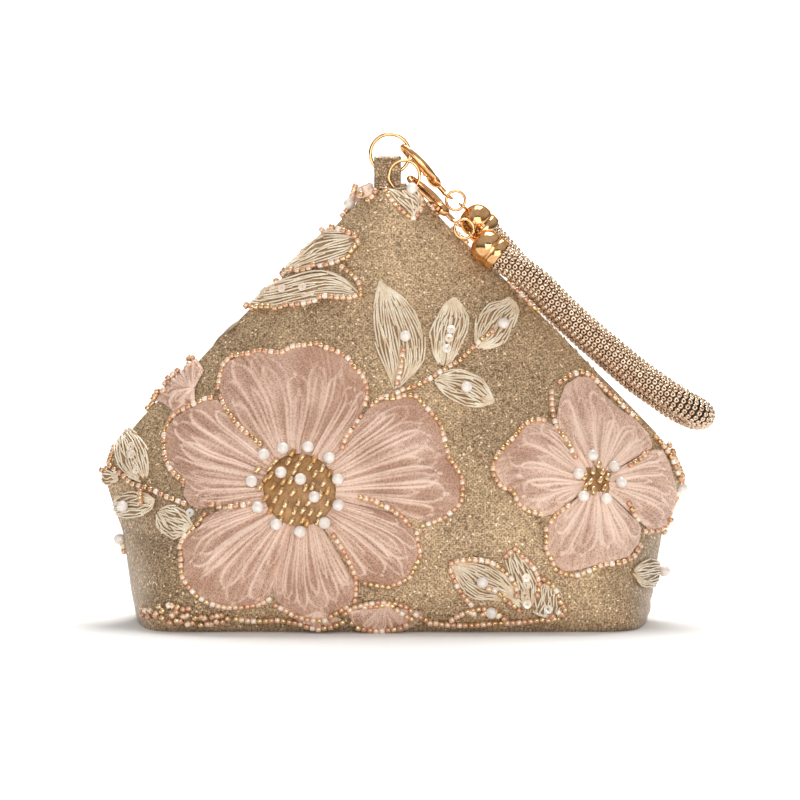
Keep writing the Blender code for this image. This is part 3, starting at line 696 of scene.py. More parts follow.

# %% [markdown]
# ## Gathered petals
# Each petal on the real clutch is a folded piece of pink net, gathered at the flower's heart, so
# its folds run out in long curves and close in rounded loops near the rim. Cloth simulation would
# give random creases, so the folds are drawn instead: a grid is laid out from heart to rim inside
# the petal's outline, and every point rises where it lies near the crest of one of the loops. The
# height of the fold is kept as an attribute, which makes the net denser on the crests and paler
# there, partly for the doubled net and partly as a painted highlight.

# %% Petal folds
PETAL_ACROSS = 104
PETAL_OUT = 54
FOLD_RISE = 0.75 * MM
FOLD_WIDTH = 0.42 * MM
HEM_WIDTH = 1.6 * MM
NET_THICK = 0.12 * MM
LOWEST = 0.3 * MM
LOOP_BEND = 0.16


def crossings(outline, middle, across):
    """How far an outline lies from a point along one line, both ways, in pixels."""
    found = [0.0]
    for k, corner in enumerate(outline):
        a = Vector(corner) - middle
        side = Vector(outline[(k + 1) % len(outline)]) - middle - a
        turn = across.x * side.y - across.y * side.x
        if abs(turn) > 1e-9 and 0 <= (a.x * across.y - a.y * across.x) / turn <= 1:
            found.append((a.x * side.y - a.y * side.x) / turn)
    return found


def petal_loops(folds, seed):
    """The nested fold loops of a petal: middle, half width, where the loop closes, strength."""
    own = random.Random(seed)
    loops = []
    for k in range(folds):
        middle = (k + 0.5) / folds + own.uniform(-0.022, 0.022)
        half = 0.5 / folds * own.uniform(0.70, 1.35)
        loops.append((middle, half, own.uniform(0.74, 0.97), own.uniform(0.55, 1.0)))
        loops.append((middle + own.uniform(-0.01, 0.01), half * own.uniform(0.35, 0.6),
                      own.uniform(0.50, 0.84), own.uniform(0.3, 0.75)))
    return loops


def fold_at(loops, s, t, span):
    """The fold's height, 0 to 1, at a share across and a share out, where span is the width there."""
    crest = 0.0
    for middle, half, close, strength in loops:
        round_from = close - LOOP_BEND
        if t > close + 0.04:
            continue
        if t <= round_from:
            wide = half
        else:
            bend = min((t - round_from) / (close - round_from), 1.0)
            wide = half * math.sqrt(max(1 - bend * bend, 0.0))
        off = abs(abs(s - middle) - wide) * span
        crest = max(crest, strength * math.exp(-(off / FOLD_WIDTH) ** 2))
    return crest


def make_petal(name, centre, outline, start, end, heart, folds, seed, base=0.5, crown=1.5,
               bow=0.09, pale=0.0):
    """A petal between two directions of its flower, in degrees up from the picture's right."""
    centre = Vector(centre)
    loops = petal_loops(folds, seed)
    verts = []
    fold_highlight_marks = []
    places = []
    for i in range(PETAL_ACROSS + 1):
        s = i / PETAL_ACROSS
        for j in range(PETAL_OUT + 1):
            t = j / PETAL_OUT
            swing = bow * math.sin(math.pi * t) * math.sin(seed * 1.7)
            swing += 0.018 * noise.noise(Vector((s * 5.0, t * 2.5, seed + 4)))
            angle = math.radians(start + (end - start) * s)
            rim = max(crossings(outline, centre, Vector((math.cos(angle), -math.sin(angle)))))
            turned = math.radians(start + (end - start) * (s + swing * math.sin(math.pi * s)))
            r = heart + (rim - heart) * t
            px = centre.x + r * math.cos(turned)
            py = centre.y - r * math.sin(turned)
            span = r * PIXEL * math.radians(abs(end - start))
            crest = fold_at(loops, s, t, span)
            edge = min(s, 1 - s) * span / HEM_WIDTH
            hem = min((1 - t) * (rim - heart) * PIXEL / HEM_WIDTH, edge, 1.0)
            soft = math.sqrt(max(hem, 0.0))
            puff = noise.noise(Vector((px * 0.045, py * 0.045, seed))) * 0.35
            lift = base + soft * (crown * (0.55 + 0.45 * math.sin(math.pi * min(t * 1.1, 1))) + puff)
            place, normal = cloth_at(px, py)
            spot = place + normal * (lift * MM + FOLD_RISE * crest * soft)
            spot.z = max(spot.z, LOWEST)
            verts.append(spot)
            streak = noise.noise(Vector((s * folds * 7.0, t * 2.2, seed))) * 0.30
            cloud = noise.noise(Vector((px * 0.03, py * 0.03, seed + 9))) * 0.30
            # Crests and hem: doubled net and a painted highlight; streak and cloud: random tone.
            fold_highlight_marks.append(min(1.0, crest * 0.80 + 0.30 * (1 - hem) + 0.14 + pale + streak + cloud))
            places.append((s * span, r * PIXEL))
    rows = PETAL_OUT + 1
    faces = grid_faces(PETAL_ACROSS + 1, rows)
    petal = mesh_piece(name, verts, faces)
    marks = petal.data.attributes.new("fold", 'FLOAT', 'POINT')
    marks.data.foreach_set("value", fold_highlight_marks)
    layer = petal.data.uv_layers.new(name="cloth")
    for loop in petal.data.loops:
        layer.data[loop.index].uv = places[loop.vertex_index]
    outward = verts[rows * (PETAL_ACROSS // 2) + PETAL_OUT // 2] - Vector((0, 0, 0.05))
    if petal.data.polygons[len(faces) // 2].normal.dot(outward) < 0:
        petal.data.flip_normals()
    thicken(petal, NET_THICK)
    return hand_over(petal, "net_" + name, petal_net, smooth=80.0,
                     replaces=(name,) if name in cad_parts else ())


# %% [markdown]
# The two flowers face the camera, so each outline is a row of places in the picture, read round the
# petal. A petal starts under its flower's heart and its net stops just inside the row of beads.

# %% Outlines of both flowers
LARGE_CENTRE = (300, 491)
SMALL_CENTRE = (595, 482)
LARGE_HEART = 36.0
SMALL_HEART = 12.0
LARGE_PETALS = {
    # petal: from, to, folds, outline
    "large_petal_top": (132.0, 49.0, 8,
        "222,398 219,388 221,375 228,362 245,355 262,351 280,354 300,346 320,345 340,353 355,367 366,385 "
        "367,400 360,418 345,440 338,452 318,446 290,446 268,452 246,433 230,413"),
    "large_petal_right": (50.0, -13.5, 8,
        "345,445 352,430 362,415 375,404 392,399 410,396 425,406 436,418 443,434 448,456 458,470 464,486 "
        "462,502 450,514 434,522 418,527 409,526 395,512 380,505 360,498 345,497 343,470"),
    "large_petal_low_right": (-14.0, -58.0, 6,
        "345,503 362,500 385,508 404,520 413,530 418,542 420,555 415,568 405,579 390,586 372,585 358,580 "
        "350,565 340,547 332,533 330,520"),
    "large_petal_low": (-59.0, -106.0, 6,
        "290,540 283,560 272,585 276,600 288,612 300,618 315,614 335,613 350,603 356,590 352,570 340,547 "
        "325,535 305,540"),
    "large_petal_low_left": (-106.0, -167.0, 7,
        "262,515 245,510 220,511 205,518 200,528 187,535 181,548 185,560 184,575 192,590 205,601 225,607 "
        "245,607 262,602 272,592 280,565 292,540 280,532 265,522"),
    "large_petal_left": (-166.0, -228.0, 8,
        "222,400 205,401 190,409 175,418 167,428 165,440 166,455 170,468 176,475 186,484 184,495 190,505 "
        "200,510 215,507 235,507 252,500 254,478 262,462 262,450 246,435 230,415"),
}
SMALL_PETALS = {
    # petal: from, to, folds, outline
    "small_petal_top": (125.0, 31.0, 6,
        "572,462 560,438 555,425 559,400 565,385 578,377 592,378 605,395 620,410 635,420 648,435 652,447 "
        "640,458 622,467 610,462 590,452"),
    "small_petal_left": (218.0, 126.0, 6,
        "572,462 560,440 552,425 538,420 522,428 508,442 496,457 492,470 497,482 510,492 516,502 528,511 "
        "543,517 556,514 570,505 577,492 570,478"),
    "small_petal_low": (316.0, 221.0, 6,
        "580,506 560,515 548,525 546,545 553,562 562,571 575,570 592,566 610,562 628,557 638,543 640,528 "
        "632,515 620,505 605,508 592,508"),
    "small_petal_right": (30.0, -42.0, 5,
        "622,470 640,460 652,450 662,450 668,462 672,475 676,490 675,505 670,520 660,527 648,530 638,522 "
        "630,510 618,497 620,485"),
}

# %% Make the petals
petals = []
for seed, (name, (start, end, folds, text)) in enumerate(LARGE_PETALS.items()):
    petals.append(make_petal(name, LARGE_CENTRE, pixels(text), start, end, LARGE_HEART, folds,
                             seed + 1))
for seed, (name, (start, end, folds, text)) in enumerate(SMALL_PETALS.items()):
    petals.append(make_petal(name, SMALL_CENTRE, pixels(text), start, end, SMALL_HEART, folds,
                             seed + 11, crown=1.2, pale=0.22))
print("petals", len(petals), "faces each", len(petals[0].data.polygons))

# %% [markdown]
# Smaller folds of net wrap over the left edge, the peak and the bottom edge. They are petals too,
# whose centre lies on the edge.

# %% Net that wraps round the edges
WRAPS = {
    # name: centre, outline, from, to, folds
    "wrap_left": ((195, 389),
        "190,352 198,360 205,372 208,388 206,402 196,409 184,408 176,413 163,403 150,401 152,390 163,383 "
        "171,370 182,362", 62.0, 272.0, 7),
    "wrap_base_left": ((318, 610),
        "290,612 300,606 318,604 340,606 350,614 338,624 318,628 300,622", 200.0, 340.0, 5),
    "wrap_base": ((384, 606),
        "346,610 362,604 384,602 408,605 424,614 412,626 396,632 372,631 354,624", 188.0, 352.0, 7),
    "wrap_peak": ((372, 196),
        "352,202 342,196 346,186 360,181 374,182 380,190", 70.0, 200.0, 3),
}
for seed, (name, (centre, text, start, end, folds)) in enumerate(WRAPS.items()):
    petals.append(make_petal(name, centre, pixels(text), start, end, 0.4, folds, seed + 21, crown=1.4))

# %% [markdown]
# ## Beads on a thread
# Every outline is a single row of short glass tubes, strung in mixed colours and couched down. One
# bead is a cylinder whose ends are taken out, bevelled at its rims and given a hole, and it is then
# copied along the rows. A bead sits on whatever lies below it, net or linen, so the place is found
# on the dressed front and not on the bare cloth.

# %% Dressed front
PROBE_FROM = 8 * MM
PROBE_LIMIT = 7 * MM


def tree_of(objects):
    """One search tree over several finished meshes."""
    verts = []
    faces = []
    for obj in objects:
        start = len(verts)
        verts += [v.co.copy() for v in obj.data.vertices]
        faces += [[start + k for k in p.vertices] for p in obj.data.polygons]
    return BVHTree.FromPolygons(verts, faces)


front_tree = tree_of([pouch] + petals)


def front_at(px, py, out=0.0):
    """A point above the dressed front behind a place in the picture, and the way out there."""
    cloth, cloth_out = cloth_at(px, py)
    place, _normal, _face, _far = front_tree.ray_cast(cloth + cloth_out * PROBE_FROM, -cloth_out)
    if place is None or (place - cloth).length > PROBE_LIMIT:
        place = cloth
    return place + cloth_out * out, cloth_out


# %% One bead, and rows of them
BEAD_LENGTH = 1.8 * MM
BEAD_R = 0.95 * MM
BEAD_HOLE = 0.36 * MM
BEAD_SIDES = 7
BEAD_OUT = 0.75 * MM
LOOSE_TURN = 1.2


def make_tube_bead(length, radius, hole):
    """A short glass tube along Z, as plain points and faces."""
    start_clean()
    bpy.ops.mesh.primitive_cylinder_add(vertices=BEAD_SIDES, radius=radius, depth=length)
    bead = bpy.context.object
    bpy.ops.object.mode_set(mode='EDIT')
    bpy.ops.mesh.select_mode(type='FACE')
    bm = bmesh.from_edit_mesh(bead.data)
    for face in bm.faces:
        face.select = len(face.verts) == BEAD_SIDES
    bpy.ops.mesh.inset(thickness=radius - hole, depth=0.0)
    bpy.ops.mesh.bridge_edge_loops()
    bm = bmesh.from_edit_mesh(bead.data)
    rim = [e for e in bm.edges if all(abs(Vector(v.co.xy).length - radius) < 1e-6 for v in e.verts)
           and abs(e.verts[0].co.z - e.verts[1].co.z) < 1e-6]
    bmesh.ops.bevel(bm, geom=rim, offset=radius * 0.28, segments=1, affect='EDGES')
    bmesh.ops.recalc_face_normals(bm, faces=bm.faces)
    bpy.ops.object.mode_set(mode='OBJECT')
    return as_shape(bead)


def copies(name, shape, placements, finishes, smooth=50.0, body=CLUTCH, replaces=()):
    """One joined mesh of a shape at many places, each placement a matrix and a finish's place."""
    verts = []
    faces = []
    marks = []
    for matrix, finish in placements:
        start = len(verts)
        verts += [matrix @ v for v in shape[0]]
        faces += [tuple(start + k for k in face) for face in shape[1]]
        marks += [finish] * len(shape[1])
    obj = mesh_piece(name, verts, faces)
    for finish in finishes:
        obj.data.materials.append(finish)
    obj.data.polygons.foreach_set("material_index", marks)
    return hand_over(obj, name, None, body=body, smooth=smooth, replaces=replaces)


def lay_along(place, out, along):
    """A matrix whose Z runs along the row and whose X points out of the cloth."""
    z = (along - out * along.dot(out)).normalized()
    y = z.cross(out).normalized()
    return Matrix.Translation(place) @ axes(out, y, z)


def bead_row(route, pitch, out, loose):
    """Even places along a row in the picture, with its way out and along; loose ones stray a little."""
    points = [Vector((x, y, 0)) for x, y in route]
    steps = even_steps(points, max(round(route_length(points) / pitch) + 1, 2))
    if loose:
        steps = [p + Vector((rng.uniform(-loose, loose), rng.uniform(-loose, loose), 0)) for p in steps]
    seats = [front_at(p.x, p.y, out) for p in steps]
    spots = [place for place, _normal in seats]
    places = []
    for k, (place, normal) in enumerate(seats):
        along = heading(spots, k)
        if loose:
            along = Matrix.Rotation(rng.uniform(-LOOSE_TURN, LOOSE_TURN), 3, normal) @ along
        places.append(lay_along(place, normal, along))
    return places


tube_bead = make_tube_bead(BEAD_LENGTH, BEAD_R, BEAD_HOLE)
print("bead faces", len(tube_bead[1]))

# %% [markdown]
# Glass beads vary from one to the next, so each draws its finish by seeded chance. Every other bead
# is mostly copper or peach, and those between are mostly peach, gold-lined or clear.

# %% String the rows round both flowers
BEAD_PITCH = 5.9
BEAD_NAMES = ("copper", "peach", "gold", "clear")
DARK_SHARES = (0.50, 0.30, 0.20, 0.0)
LIGHT_SHARES = (0.10, 0.35, 0.35, 0.20)
LARGE_ROWS = (
    "219,388 221,377 224,366 232,357 241,356 250,355 257,351 270,352 281,354 293,347 303,346 317,344 "
    "328,349 338,352 348,358 355,368 364,378 367,387 367,398 365,405",
    "222,398 225.5,407.5 231.5,416 238.5,425 246,433 254,440 262,447",
    "361,417 353,429 346,440 343,449",
    "372,405.5 381,398 392,399.5 404,396 417,397 426,408 433,416 441,425 443,435 446,447 449,458 "
    "456,468 462,478 463,492 461,503 454,510 446,517 434,522 423,526",
    "361,498 373,501 382,506 393,511 403,518 409,525",
    "417,533 418,545 421,554 416,565 410,577 401,582 388,587 376,585 365,583",
    "334,537 342,547 348,559 352,567 356,578 356,590 355,600",
    "276,605 287,611 300,616 312,617 325,617 337,612 346,607",
    "214,507 223,508 234,508.5 244,507 250,504",
    "205,515 198,525 188,535 182,548 182,562 182,575 190,588 198,597 211,603 222,606 236,607 249,606 "
    "260,604 269,599",
    "212,399 205,400 192,408 181,411 171,419 168,427 164,433 166,439 165,447 166,457 170,467 177,476 "
    "185,483",
)
SMALL_ROWS = (
    "559,383 572,375 582,373 591,377 600,386 608,394 615,399 625,410 636,419",
    "551,393 551,404 552,415 556,428 561,438 567,449 572,459",
    "646,452 637,460 627,467",
    "543,421 530,421 521,428 512,440 504,447 497,455 492,467 494,477 501,487 513,492 517,502 527,511 "
    "540,515",
    "567,508 557,514 551,522",
    "546,530 546,538 546,550 552,560 556,570 568,575 579,575 591,570 603,564.5 611,564 621,563 "
    "632,557 638,546",
    "625,505 630,513 636,519",
    "655,438 664,448 671,459 676,472 681,483 682,495 678,508 673,519 664,526 655,530 643,531",
)


def mixed_beads(name, rows, out=BEAD_OUT, loose=0.0):
    placements = []
    for text in rows:
        for k, matrix in enumerate(bead_row(pixels(text), BEAD_PITCH, out, loose)):
            kind = rng.choices(range(len(BEAD_NAMES)), LIGHT_SHARES if k % 2 else DARK_SHARES)[0]
            placements.append((matrix, kind))
    finishes = [bead_finishes[kind] for kind in BEAD_NAMES]
    beads = copies(name, tube_bead, placements, finishes)
    print(name, len(placements))
    return beads


mixed_beads("large_flower_bead_rows", LARGE_ROWS)
mixed_beads("small_flower_bead_rows", SMALL_ROWS)

# %% [markdown]
# ## Flower hearts
# A heart is a padded amber disc covered with slanted bugles, which are longer tubes lined with
# gold, and ringed with round pearls. The disc is crowned so that it hides where the gathers meet.

# %% Hearts with bugles and pearls
PEARL_R = 2.0 * MM
PEARL_SINK = 0.82
HEART_SIDES = 40
HEART_RINGS = 9
HEART_LIFT = 0.7
BUGLE_LEAN = math.radians(62.0)
LARGE_BUGLES = (
    "277,463 290,464 294,455 303,459 315,461 271,470 299,467 311,469 323,470 316,476 330,475 324,485 "
    "267,481 274,489 282,493 294,494 267,499 276,501 286,505 299,503 271,511 282,513 295,512 311,513 "
    "320,514 328,503 292,522 303,521 328,492 260,472 262,490 307,524 318,522 306,490 313,488 292,483 "
    "272,478 296,474 321,496 309,504 285,484 303,512 281,521"
)
SMALL_BUGLES = "590,474 599,475 596,483 587,485 590,494 601,491 604,480 582,480 595,468 583,490"
LARGE_PEARLS = (
    "266.5,458 285,452 309.5,450 330,460 338,481 338.5,506 325,524 300.5,533 276.5,526 259,509 254,485 "
    "283,475.5 301.5,481.5 315,498"
)
SMALL_PEARLS = "588,459 610,469.5 616.5,486 601,502.5 580.5,499.5 575,477.5"


def make_heart(name, centre, radius, crown):
    verts = []
    for ring in range(HEART_RINGS):
        share = 1 - ring / HEART_RINGS
        for k in range(HEART_SIDES):
            angle = 2 * math.pi * k / HEART_SIDES
            px = centre[0] + radius * share * math.cos(angle)
            py = centre[1] + radius * share * math.sin(angle)
            bumps = noise.noise(Vector((px * 0.16, py * 0.16, 2))) * 0.35
            rise = HEART_LIFT + crown * math.sqrt(max(1 - share ** 2, 0)) + bumps * (1 - share)
            place, normal = cloth_at(px, py)
            verts.append(place + normal * rise * MM)
    place, normal = cloth_at(*centre)
    verts.append(place + normal * (HEART_LIFT + crown) * MM)
    last = (HEART_RINGS - 1) * HEART_SIDES
    faces = grid_faces(HEART_RINGS, HEART_SIDES, round_columns=True)
    faces += [(last + k, last + (k + 1) % HEART_SIDES, len(verts) - 1) for k in range(HEART_SIDES)]
    heart = mesh_piece(name, verts, faces)
    if heart.data.polygons[0].normal.y > 0:
        heart.data.flip_normals()
    thicken(heart, 0.5 * MM)
    return hand_over(heart, "padded_" + name, heart_cloth, smooth=80.0, replaces=(name,))


def make_round_pearl():
    start_clean()
    bpy.ops.mesh.primitive_uv_sphere_add(segments=14, ring_count=9, radius=PEARL_R)
    return as_shape(bpy.context.object)


round_pearl = make_round_pearl()
bugle = make_tube_bead(2.8 * MM, 0.88 * MM, 0.36 * MM)
hearts = [make_heart("large_flower_heart", LARGE_CENTRE, 38.0, 1.7),
          make_heart("small_flower_heart", SMALL_CENTRE, 17.0, 1.3)]
front_tree = tree_of([pouch] + petals + hearts)


def seats_at(text, out, scale=1.0):
    """Places on the dressed front, each turned to face straight out of it."""
    placements = []
    for px, py in pixels(text):
        place, normal = front_at(px, py, out)
        turn = normal.to_track_quat('Z', 'Y').to_matrix().to_4x4()
        placements.append((Matrix.Translation(place) @ turn @ Matrix.Scale(scale, 4), 0))
    return placements


def pearls_at(name, text, scale=1.0):
    seats = seats_at(text, PEARL_R * scale * PEARL_SINK, scale)
    return copies(name, round_pearl, seats, [pearl], smooth=80.0)


def lean_bugles(name, text):
    placements = []
    for px, py in pixels(text):
        place, normal = front_at(px, py, 0.8 * MM)
        lean = BUGLE_LEAN + rng.uniform(-0.22, 0.22)
        along = Vector((math.cos(lean), 0, math.sin(lean)))
        placements.append((lay_along(place, normal, along), rng.choice((0, 1, 1, 1))))
    return copies(name, bugle, placements, [bead_finishes["amber"], bead_finishes["gold"]])


lean_bugles("large_flower_bugles", LARGE_BUGLES)
lean_bugles("small_flower_bugles", SMALL_BUGLES)
pearls_at("large_flower_pearls", LARGE_PEARLS)
pearls_at("small_flower_pearls", SMALL_PEARLS, 0.95)

# %% [markdown]
# ## Thread leaves
# The leaves are satin stitches over a thin pad: each line of stitches runs from the base to the tip,
# stitch after stitch, each a little askew, and the pad shows between them, coloured dark as painted
# shade. A texture could draw them, but their rounded edges catch the light, so each stitch is a
# thin tube.

# %% Leaf outlines
LEAVES = {
    # name: base, tip, outline
    "leaf_tall": ("394,391", "380,281",
        "380,281 386,288 397,291 405,300 414,312 421,325 426,340 425,360 420,368 410,380 394,391 390,382 "
        "383,365 378,352 376,345 373,325 374,310 376,295"),
    "leaf_middle": ("447,368", "455,298",
        "453,298 446,303 438,312 432,322 429,332 430,345 433,357 438,365 443,368 450,365 458,352 464,340 "
        "468,330 469,318 463,308 458,301"),
    "leaf_upper_right": ("475,350", "515,303",
        "515,303 519,312 514,325 508,338 500,347 485,350 475,349 473,338 474,325 478,313 487,305 500,302 "
        "508,297"),
    "leaf_lower_right": ("433,381", "494,402",
        "433,382 440,374 452,370 463,369 475,373 483,380 489,390 494,402 485,407 478,409 465,407 452,402 "
        "442,394 436,386"),
    "leaf_ridge_upper": ("360,242", "280,272",
        "360,240 352,232 340,228 325,228 312,232 305,245 290,262 280,272 293,272 306,270 317,268 328,265 "
        "340,260 350,256 358,247"),
    "leaf_ridge_lower": ("362,298", "242,303",
        "362,298 357,290 350,282 340,274 325,271 310,273 295,277 280,281 265,285 250,291 242,300 248,307 "
        "262,310 278,309 290,306 303,304 316,301 330,298 345,298"),
    "leaf_side_tall": ("144,483", "122,423",
        "121,423 115,440 116,455 121,468 130,478 143,483 149,478 151,465 149,450 143,438 133,430 125,425"),
    "leaf_side_left": ("115,510", "156,500",
        "113,505 120,495 133,490 148,493 156,500 154,510 145,517 130,519 118,515"),
    "leaf_side_right": ("160,510", "193,528",
        "158,512 170,505 180,507 190,515 194,525 187,535 175,540 163,535 158,525"),
    "leaf_base_left": ("449,563", "520,607",
        "449,563 458,560 470,557 480,556 495,562 505,572 512,585 518,597 520,607 508,600 490,600 475,600 "
        "462,592 455,580 450,570"),
    "leaf_base_middle": ("511,553", "530,607",
        "505,560 511,552 517,551 525,557 533,570 537,585 535,600 525,607 515,595 509,578"),
    "leaf_base_right": ("549,580", "548,618",
        "540,585 552,580 560,590 565,605 560,617 545,617 533,612 535,598"),
    "leaf_corner_right": ("630,575", "669,570",
        "630,572 638,562 650,558 660,562 668,570 662,582 650,589 640,588 634,580"),
    "leaf_edge_small": ("99,474", "120,480",
        "99,472 110,470 120,475 118,482 108,486 100,482"),
    "leaf_peak": ("387,184", "413,218",
        "386,182 397,180 410,183 418,195 421,205 413,218 403,212 392,200 385,190"),
}
STRAND_R = 0.32 * MM
STITCH_STATIONS = 5
STRAND_SIDES = 5
STRAND_PITCH = 0.86 * MM
PAD_ROWS = 12
PAD_ACROSS = 8


def tube_along(points, radii, sides, verts, faces):
    """Adds a closed round tube along points to a growing list of points and faces."""
    start = len(verts)
    side = None
    for k, point in enumerate(points):
        along = heading(points, k).normalized()
        if side is None:
            side = along.orthogonal().normalized()
        side = (side - along * side.dot(along)).normalized()
        other = along.cross(side)
        for n in range(sides):
            angle = 2 * math.pi * n / sides
            verts.append(point + (side * math.cos(angle) + other * math.sin(angle)) * radii[k])
    last = len(verts) - sides
    faces.extend(grid_faces(len(points), sides, round_columns=True, start=start))
    faces.append(tuple(start + n for n in reversed(range(sides))))
    faces.append(tuple(last + n for n in range(sides)))


def leaf_point(outline, base, tip, s, t, lift):
    """A place on a leaf: s from one side to the other, t from base to tip."""
    middle = base.lerp(tip, t)
    along = (tip - base).normalized()
    across = Vector((-along.y, along.x))
    reach = crossings(outline, middle, across)
    flat = middle + across * (min(reach) + (max(reach) - min(reach)) * s)
    place, normal = cloth_at(flat.x, flat.y)
    return place + normal * lift


def leaf_crown(s, t):
    """How high a leaf stands, 0 to 1, at a share across and a share along."""
    return math.sqrt(max(4 * s * (1 - s), 0)) * math.sin(math.pi * t) ** 0.5


def leaf_pad(name, outline, base, tip):
    """The thin pad below the stitches, as points and faces."""
    verts = []
    for i in range(PAD_ROWS + 1):
        t = 0.02 + 0.96 * i / PAD_ROWS
        for j in range(PAD_ACROSS + 1):
            s = j / PAD_ACROSS
            lift = (0.3 + 0.95 * leaf_crown(s, t)) * MM
            verts.append(leaf_point(outline, base, tip, 0.03 + 0.94 * s, t, lift))
    pad = mesh_piece(name, verts, grid_faces(PAD_ROWS + 1, PAD_ACROSS + 1))
    if pad.data.polygons[PAD_ROWS * PAD_ACROSS // 2].normal.y > 0:
        pad.data.flip_normals()
    return as_shape(thicken(pad, 0.35 * MM))


def make_leaf(name, base, tip, text):
    outline = pixels(text)
    base = Vector(pixels(base)[0])
    tip = Vector(pixels(tip)[0])
    run = tip - base
    reach = crossings(outline, base.lerp(tip, 0.5), Vector((-run.y, run.x)).normalized())
    strands = max(int((max(reach) - min(reach)) * PIXEL / STRAND_PITCH), 5)
    verts, faces = leaf_pad(name, outline, base, tip)
    pad_count = len(faces)
    for n in range(strands):
        s = (n + 0.5) / strands
        t = 0.01 + rng.uniform(0.0, 0.10)
        while t < 0.93:
            end = min(t + rng.uniform(0.24, 0.46), 0.995)
            lean = rng.uniform(-0.8, 0.8) / strands
            rise = rng.uniform(-0.14, 0.22)
            points = []
            radii = []
            for k in range(STITCH_STATIONS):
                share = k / (STITCH_STATIONS - 1)
                at = t + (end - t) * share
                arch = math.sin(math.pi * share)
                lift = (0.55 + 1.05 * leaf_crown(s, at) + rise + 0.12 * arch) * MM
                across = min(max(s + lean * (share - 0.5) * 2, -0.01), 1.01)
                points.append(leaf_point(outline, base, tip, across, at, lift))
                radii.append(STRAND_R * (0.72 + 0.28 * arch))
            tube_along(points, radii, STRAND_SIDES, verts, faces)
            t = end + rng.uniform(-0.05, 0.01)
    leaf = mesh_piece(name, verts, faces)
    leaf.data.materials.append(leaf_thread)
    # The pad's dark ground paints the shade between the stitches.
    leaf.data.materials.append(leaf_ground_and_shade)
    for face in leaf.data.polygons:
        face.material_index = 1 if face.index < pad_count else 0
    return hand_over(leaf, "thread_" + name, None, smooth=60.0,
                     replaces=(name,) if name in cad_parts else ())


leaves = [make_leaf(name, *row) for name, row in LEAVES.items()]
front_tree = tree_of([pouch] + petals + hearts + leaves)
print("leaves", len(leaves), "faces in the tall one", len(leaves[0].data.polygons))

# %% [markdown]
# ## Trimmings
# Small pearls and flat sequins sit on some leaves, beads edge others and run between them as stems,
# and loose clusters wrap over the pouch's edges.

# %% Leaf beads, pearls and sequins
LEAF_ROWS = (
    "381,398 392,396 403,390 411,388 420,384 430,379 437,374 445,369 451,366 459,361 466,354 473,347 "
    "481,340 490,333",
    "403,351 400,373 397,384",
    "281,272.5 293,272 305,271 317,267 327,265.5 341,260.5 349,256 356,248 359,238.5 346,232 335,229 "
    "323,231",
    "243,303 253,309 265,309 278,309 290,305 303,304.5 316,301 326,298 340,299 352,298 361,295 "
    "361,286 355,277 343,267.5",
    "104,457 113,468 125,476 133,484 144,487 157,492 164,496 175,500 185,504",
    "451.5,563 459,560 471,559 485,560 495.5,564 504,570.5 513,580 516,587 516,595",
    "450.5,570 456,583 459,589.5 464.5,597 471,604",
    "506,556 516,548 524,558 532,564.5 538,576.5 539.5,585 537,595",
    "544,579 554,586 557,592 561,602 566,608 558,618",
    "488.5,588.5 495.5,590 506,599 513,604 519,610",
    "452,619 461,614 471,610 482,608.5 495.5,610 504,618",
    "145,493 146,503",
)
EDGE_ROWS = (
    "360,193 366,196 370,201 377,191 381,183 386,190",
    "349,205 341,214",
    "341,194 346,201",
    "428,205 436,213 445,222 455,233 465,243",
    "272,262 266,270",
    "137,390 143,388 150,390",
    "96,437 96,449",
    "684,462 688,473 691,484 692,495 688,506 684,515 679,523",
    "674,459 678,468",
    "180,373 173,385 165,395.5 155,396",
    "365,607 376,606 390,604 400,611 412,617",
    "345,613 354,607 366,604 380,602 394,603 406,607 417,613 426,619",
    "352,622 364,625 378,626 392,625 406,622",
    "236,618 250,620 264,620 278,619 290,621 302,623 316,624 330,623 342,620",
    "430,622 443,623 456,624 470,624 484,623 498,622 512,622 526,621 540,619 554,617",
    "508,283 520,295 532,307 545,319 558,332 570,343 582,354 594,366",
    "186,352 191,359 194,368",
    "143,394 138,399",
    "92,441 97,446 101,452",
    "98,458 94,464 99,469",
    "362,190 354,196 347,200 342,207",
    "113,553 112,543",
    "386,190 392,200 399,208 406,215 413,219 419,212 422,204 418,195",
)
LOOSE_ROWS = (
    "143,608 154,612 166,613 178,614 190,616 203,616 216,616 229,616",
    "146,614 158,618 170,620 184,621 198,622 212,622 224,622",
    "163,606 177,608 190,609",
    "690,470 694,480 693,492 688,502",
    "668,448 677,452 684,458 690,465",
    "666,520 672,526 667,533",
    "470,613 484,613 498,614",
    "552,612 562,614",
)
LEAF_PEARLS = "404.5,339 500,326 465,389 131,505.5 482,582 662,571 407,190"
EDGE_PEARLS = "345,200 108,541 491,612 684,489"
WHITE_SEQUINS = "446,350 266,293 190,513 548,608 117,476"
CLEAR_SEQUINS = ("448,340 450,331 275,292 285,291 305,289 134,448 135.5,456 138,464 140,472 "
                 "526,577 526,585 525,595 527,603")


def make_sequin():
    """A cupped disc with a hole: a flat ring whose rim is turned up."""
    start_clean()
    bpy.ops.mesh.primitive_circle_add(vertices=12, radius=1.45 * MM, fill_type='NGON')
    disc = bpy.context.object
    bpy.ops.object.mode_set(mode='EDIT')
    bpy.ops.mesh.select_mode(type='FACE')
    bpy.ops.mesh.select_all(action='SELECT')
    bpy.ops.mesh.inset(thickness=0.5 * MM, depth=-0.22 * MM)
    bpy.ops.mesh.inset(thickness=0.5 * MM, depth=0.0)
    bpy.ops.mesh.delete(type='FACE')
    bpy.ops.object.mode_set(mode='OBJECT')
    return as_shape(thicken(disc, 0.14 * MM))


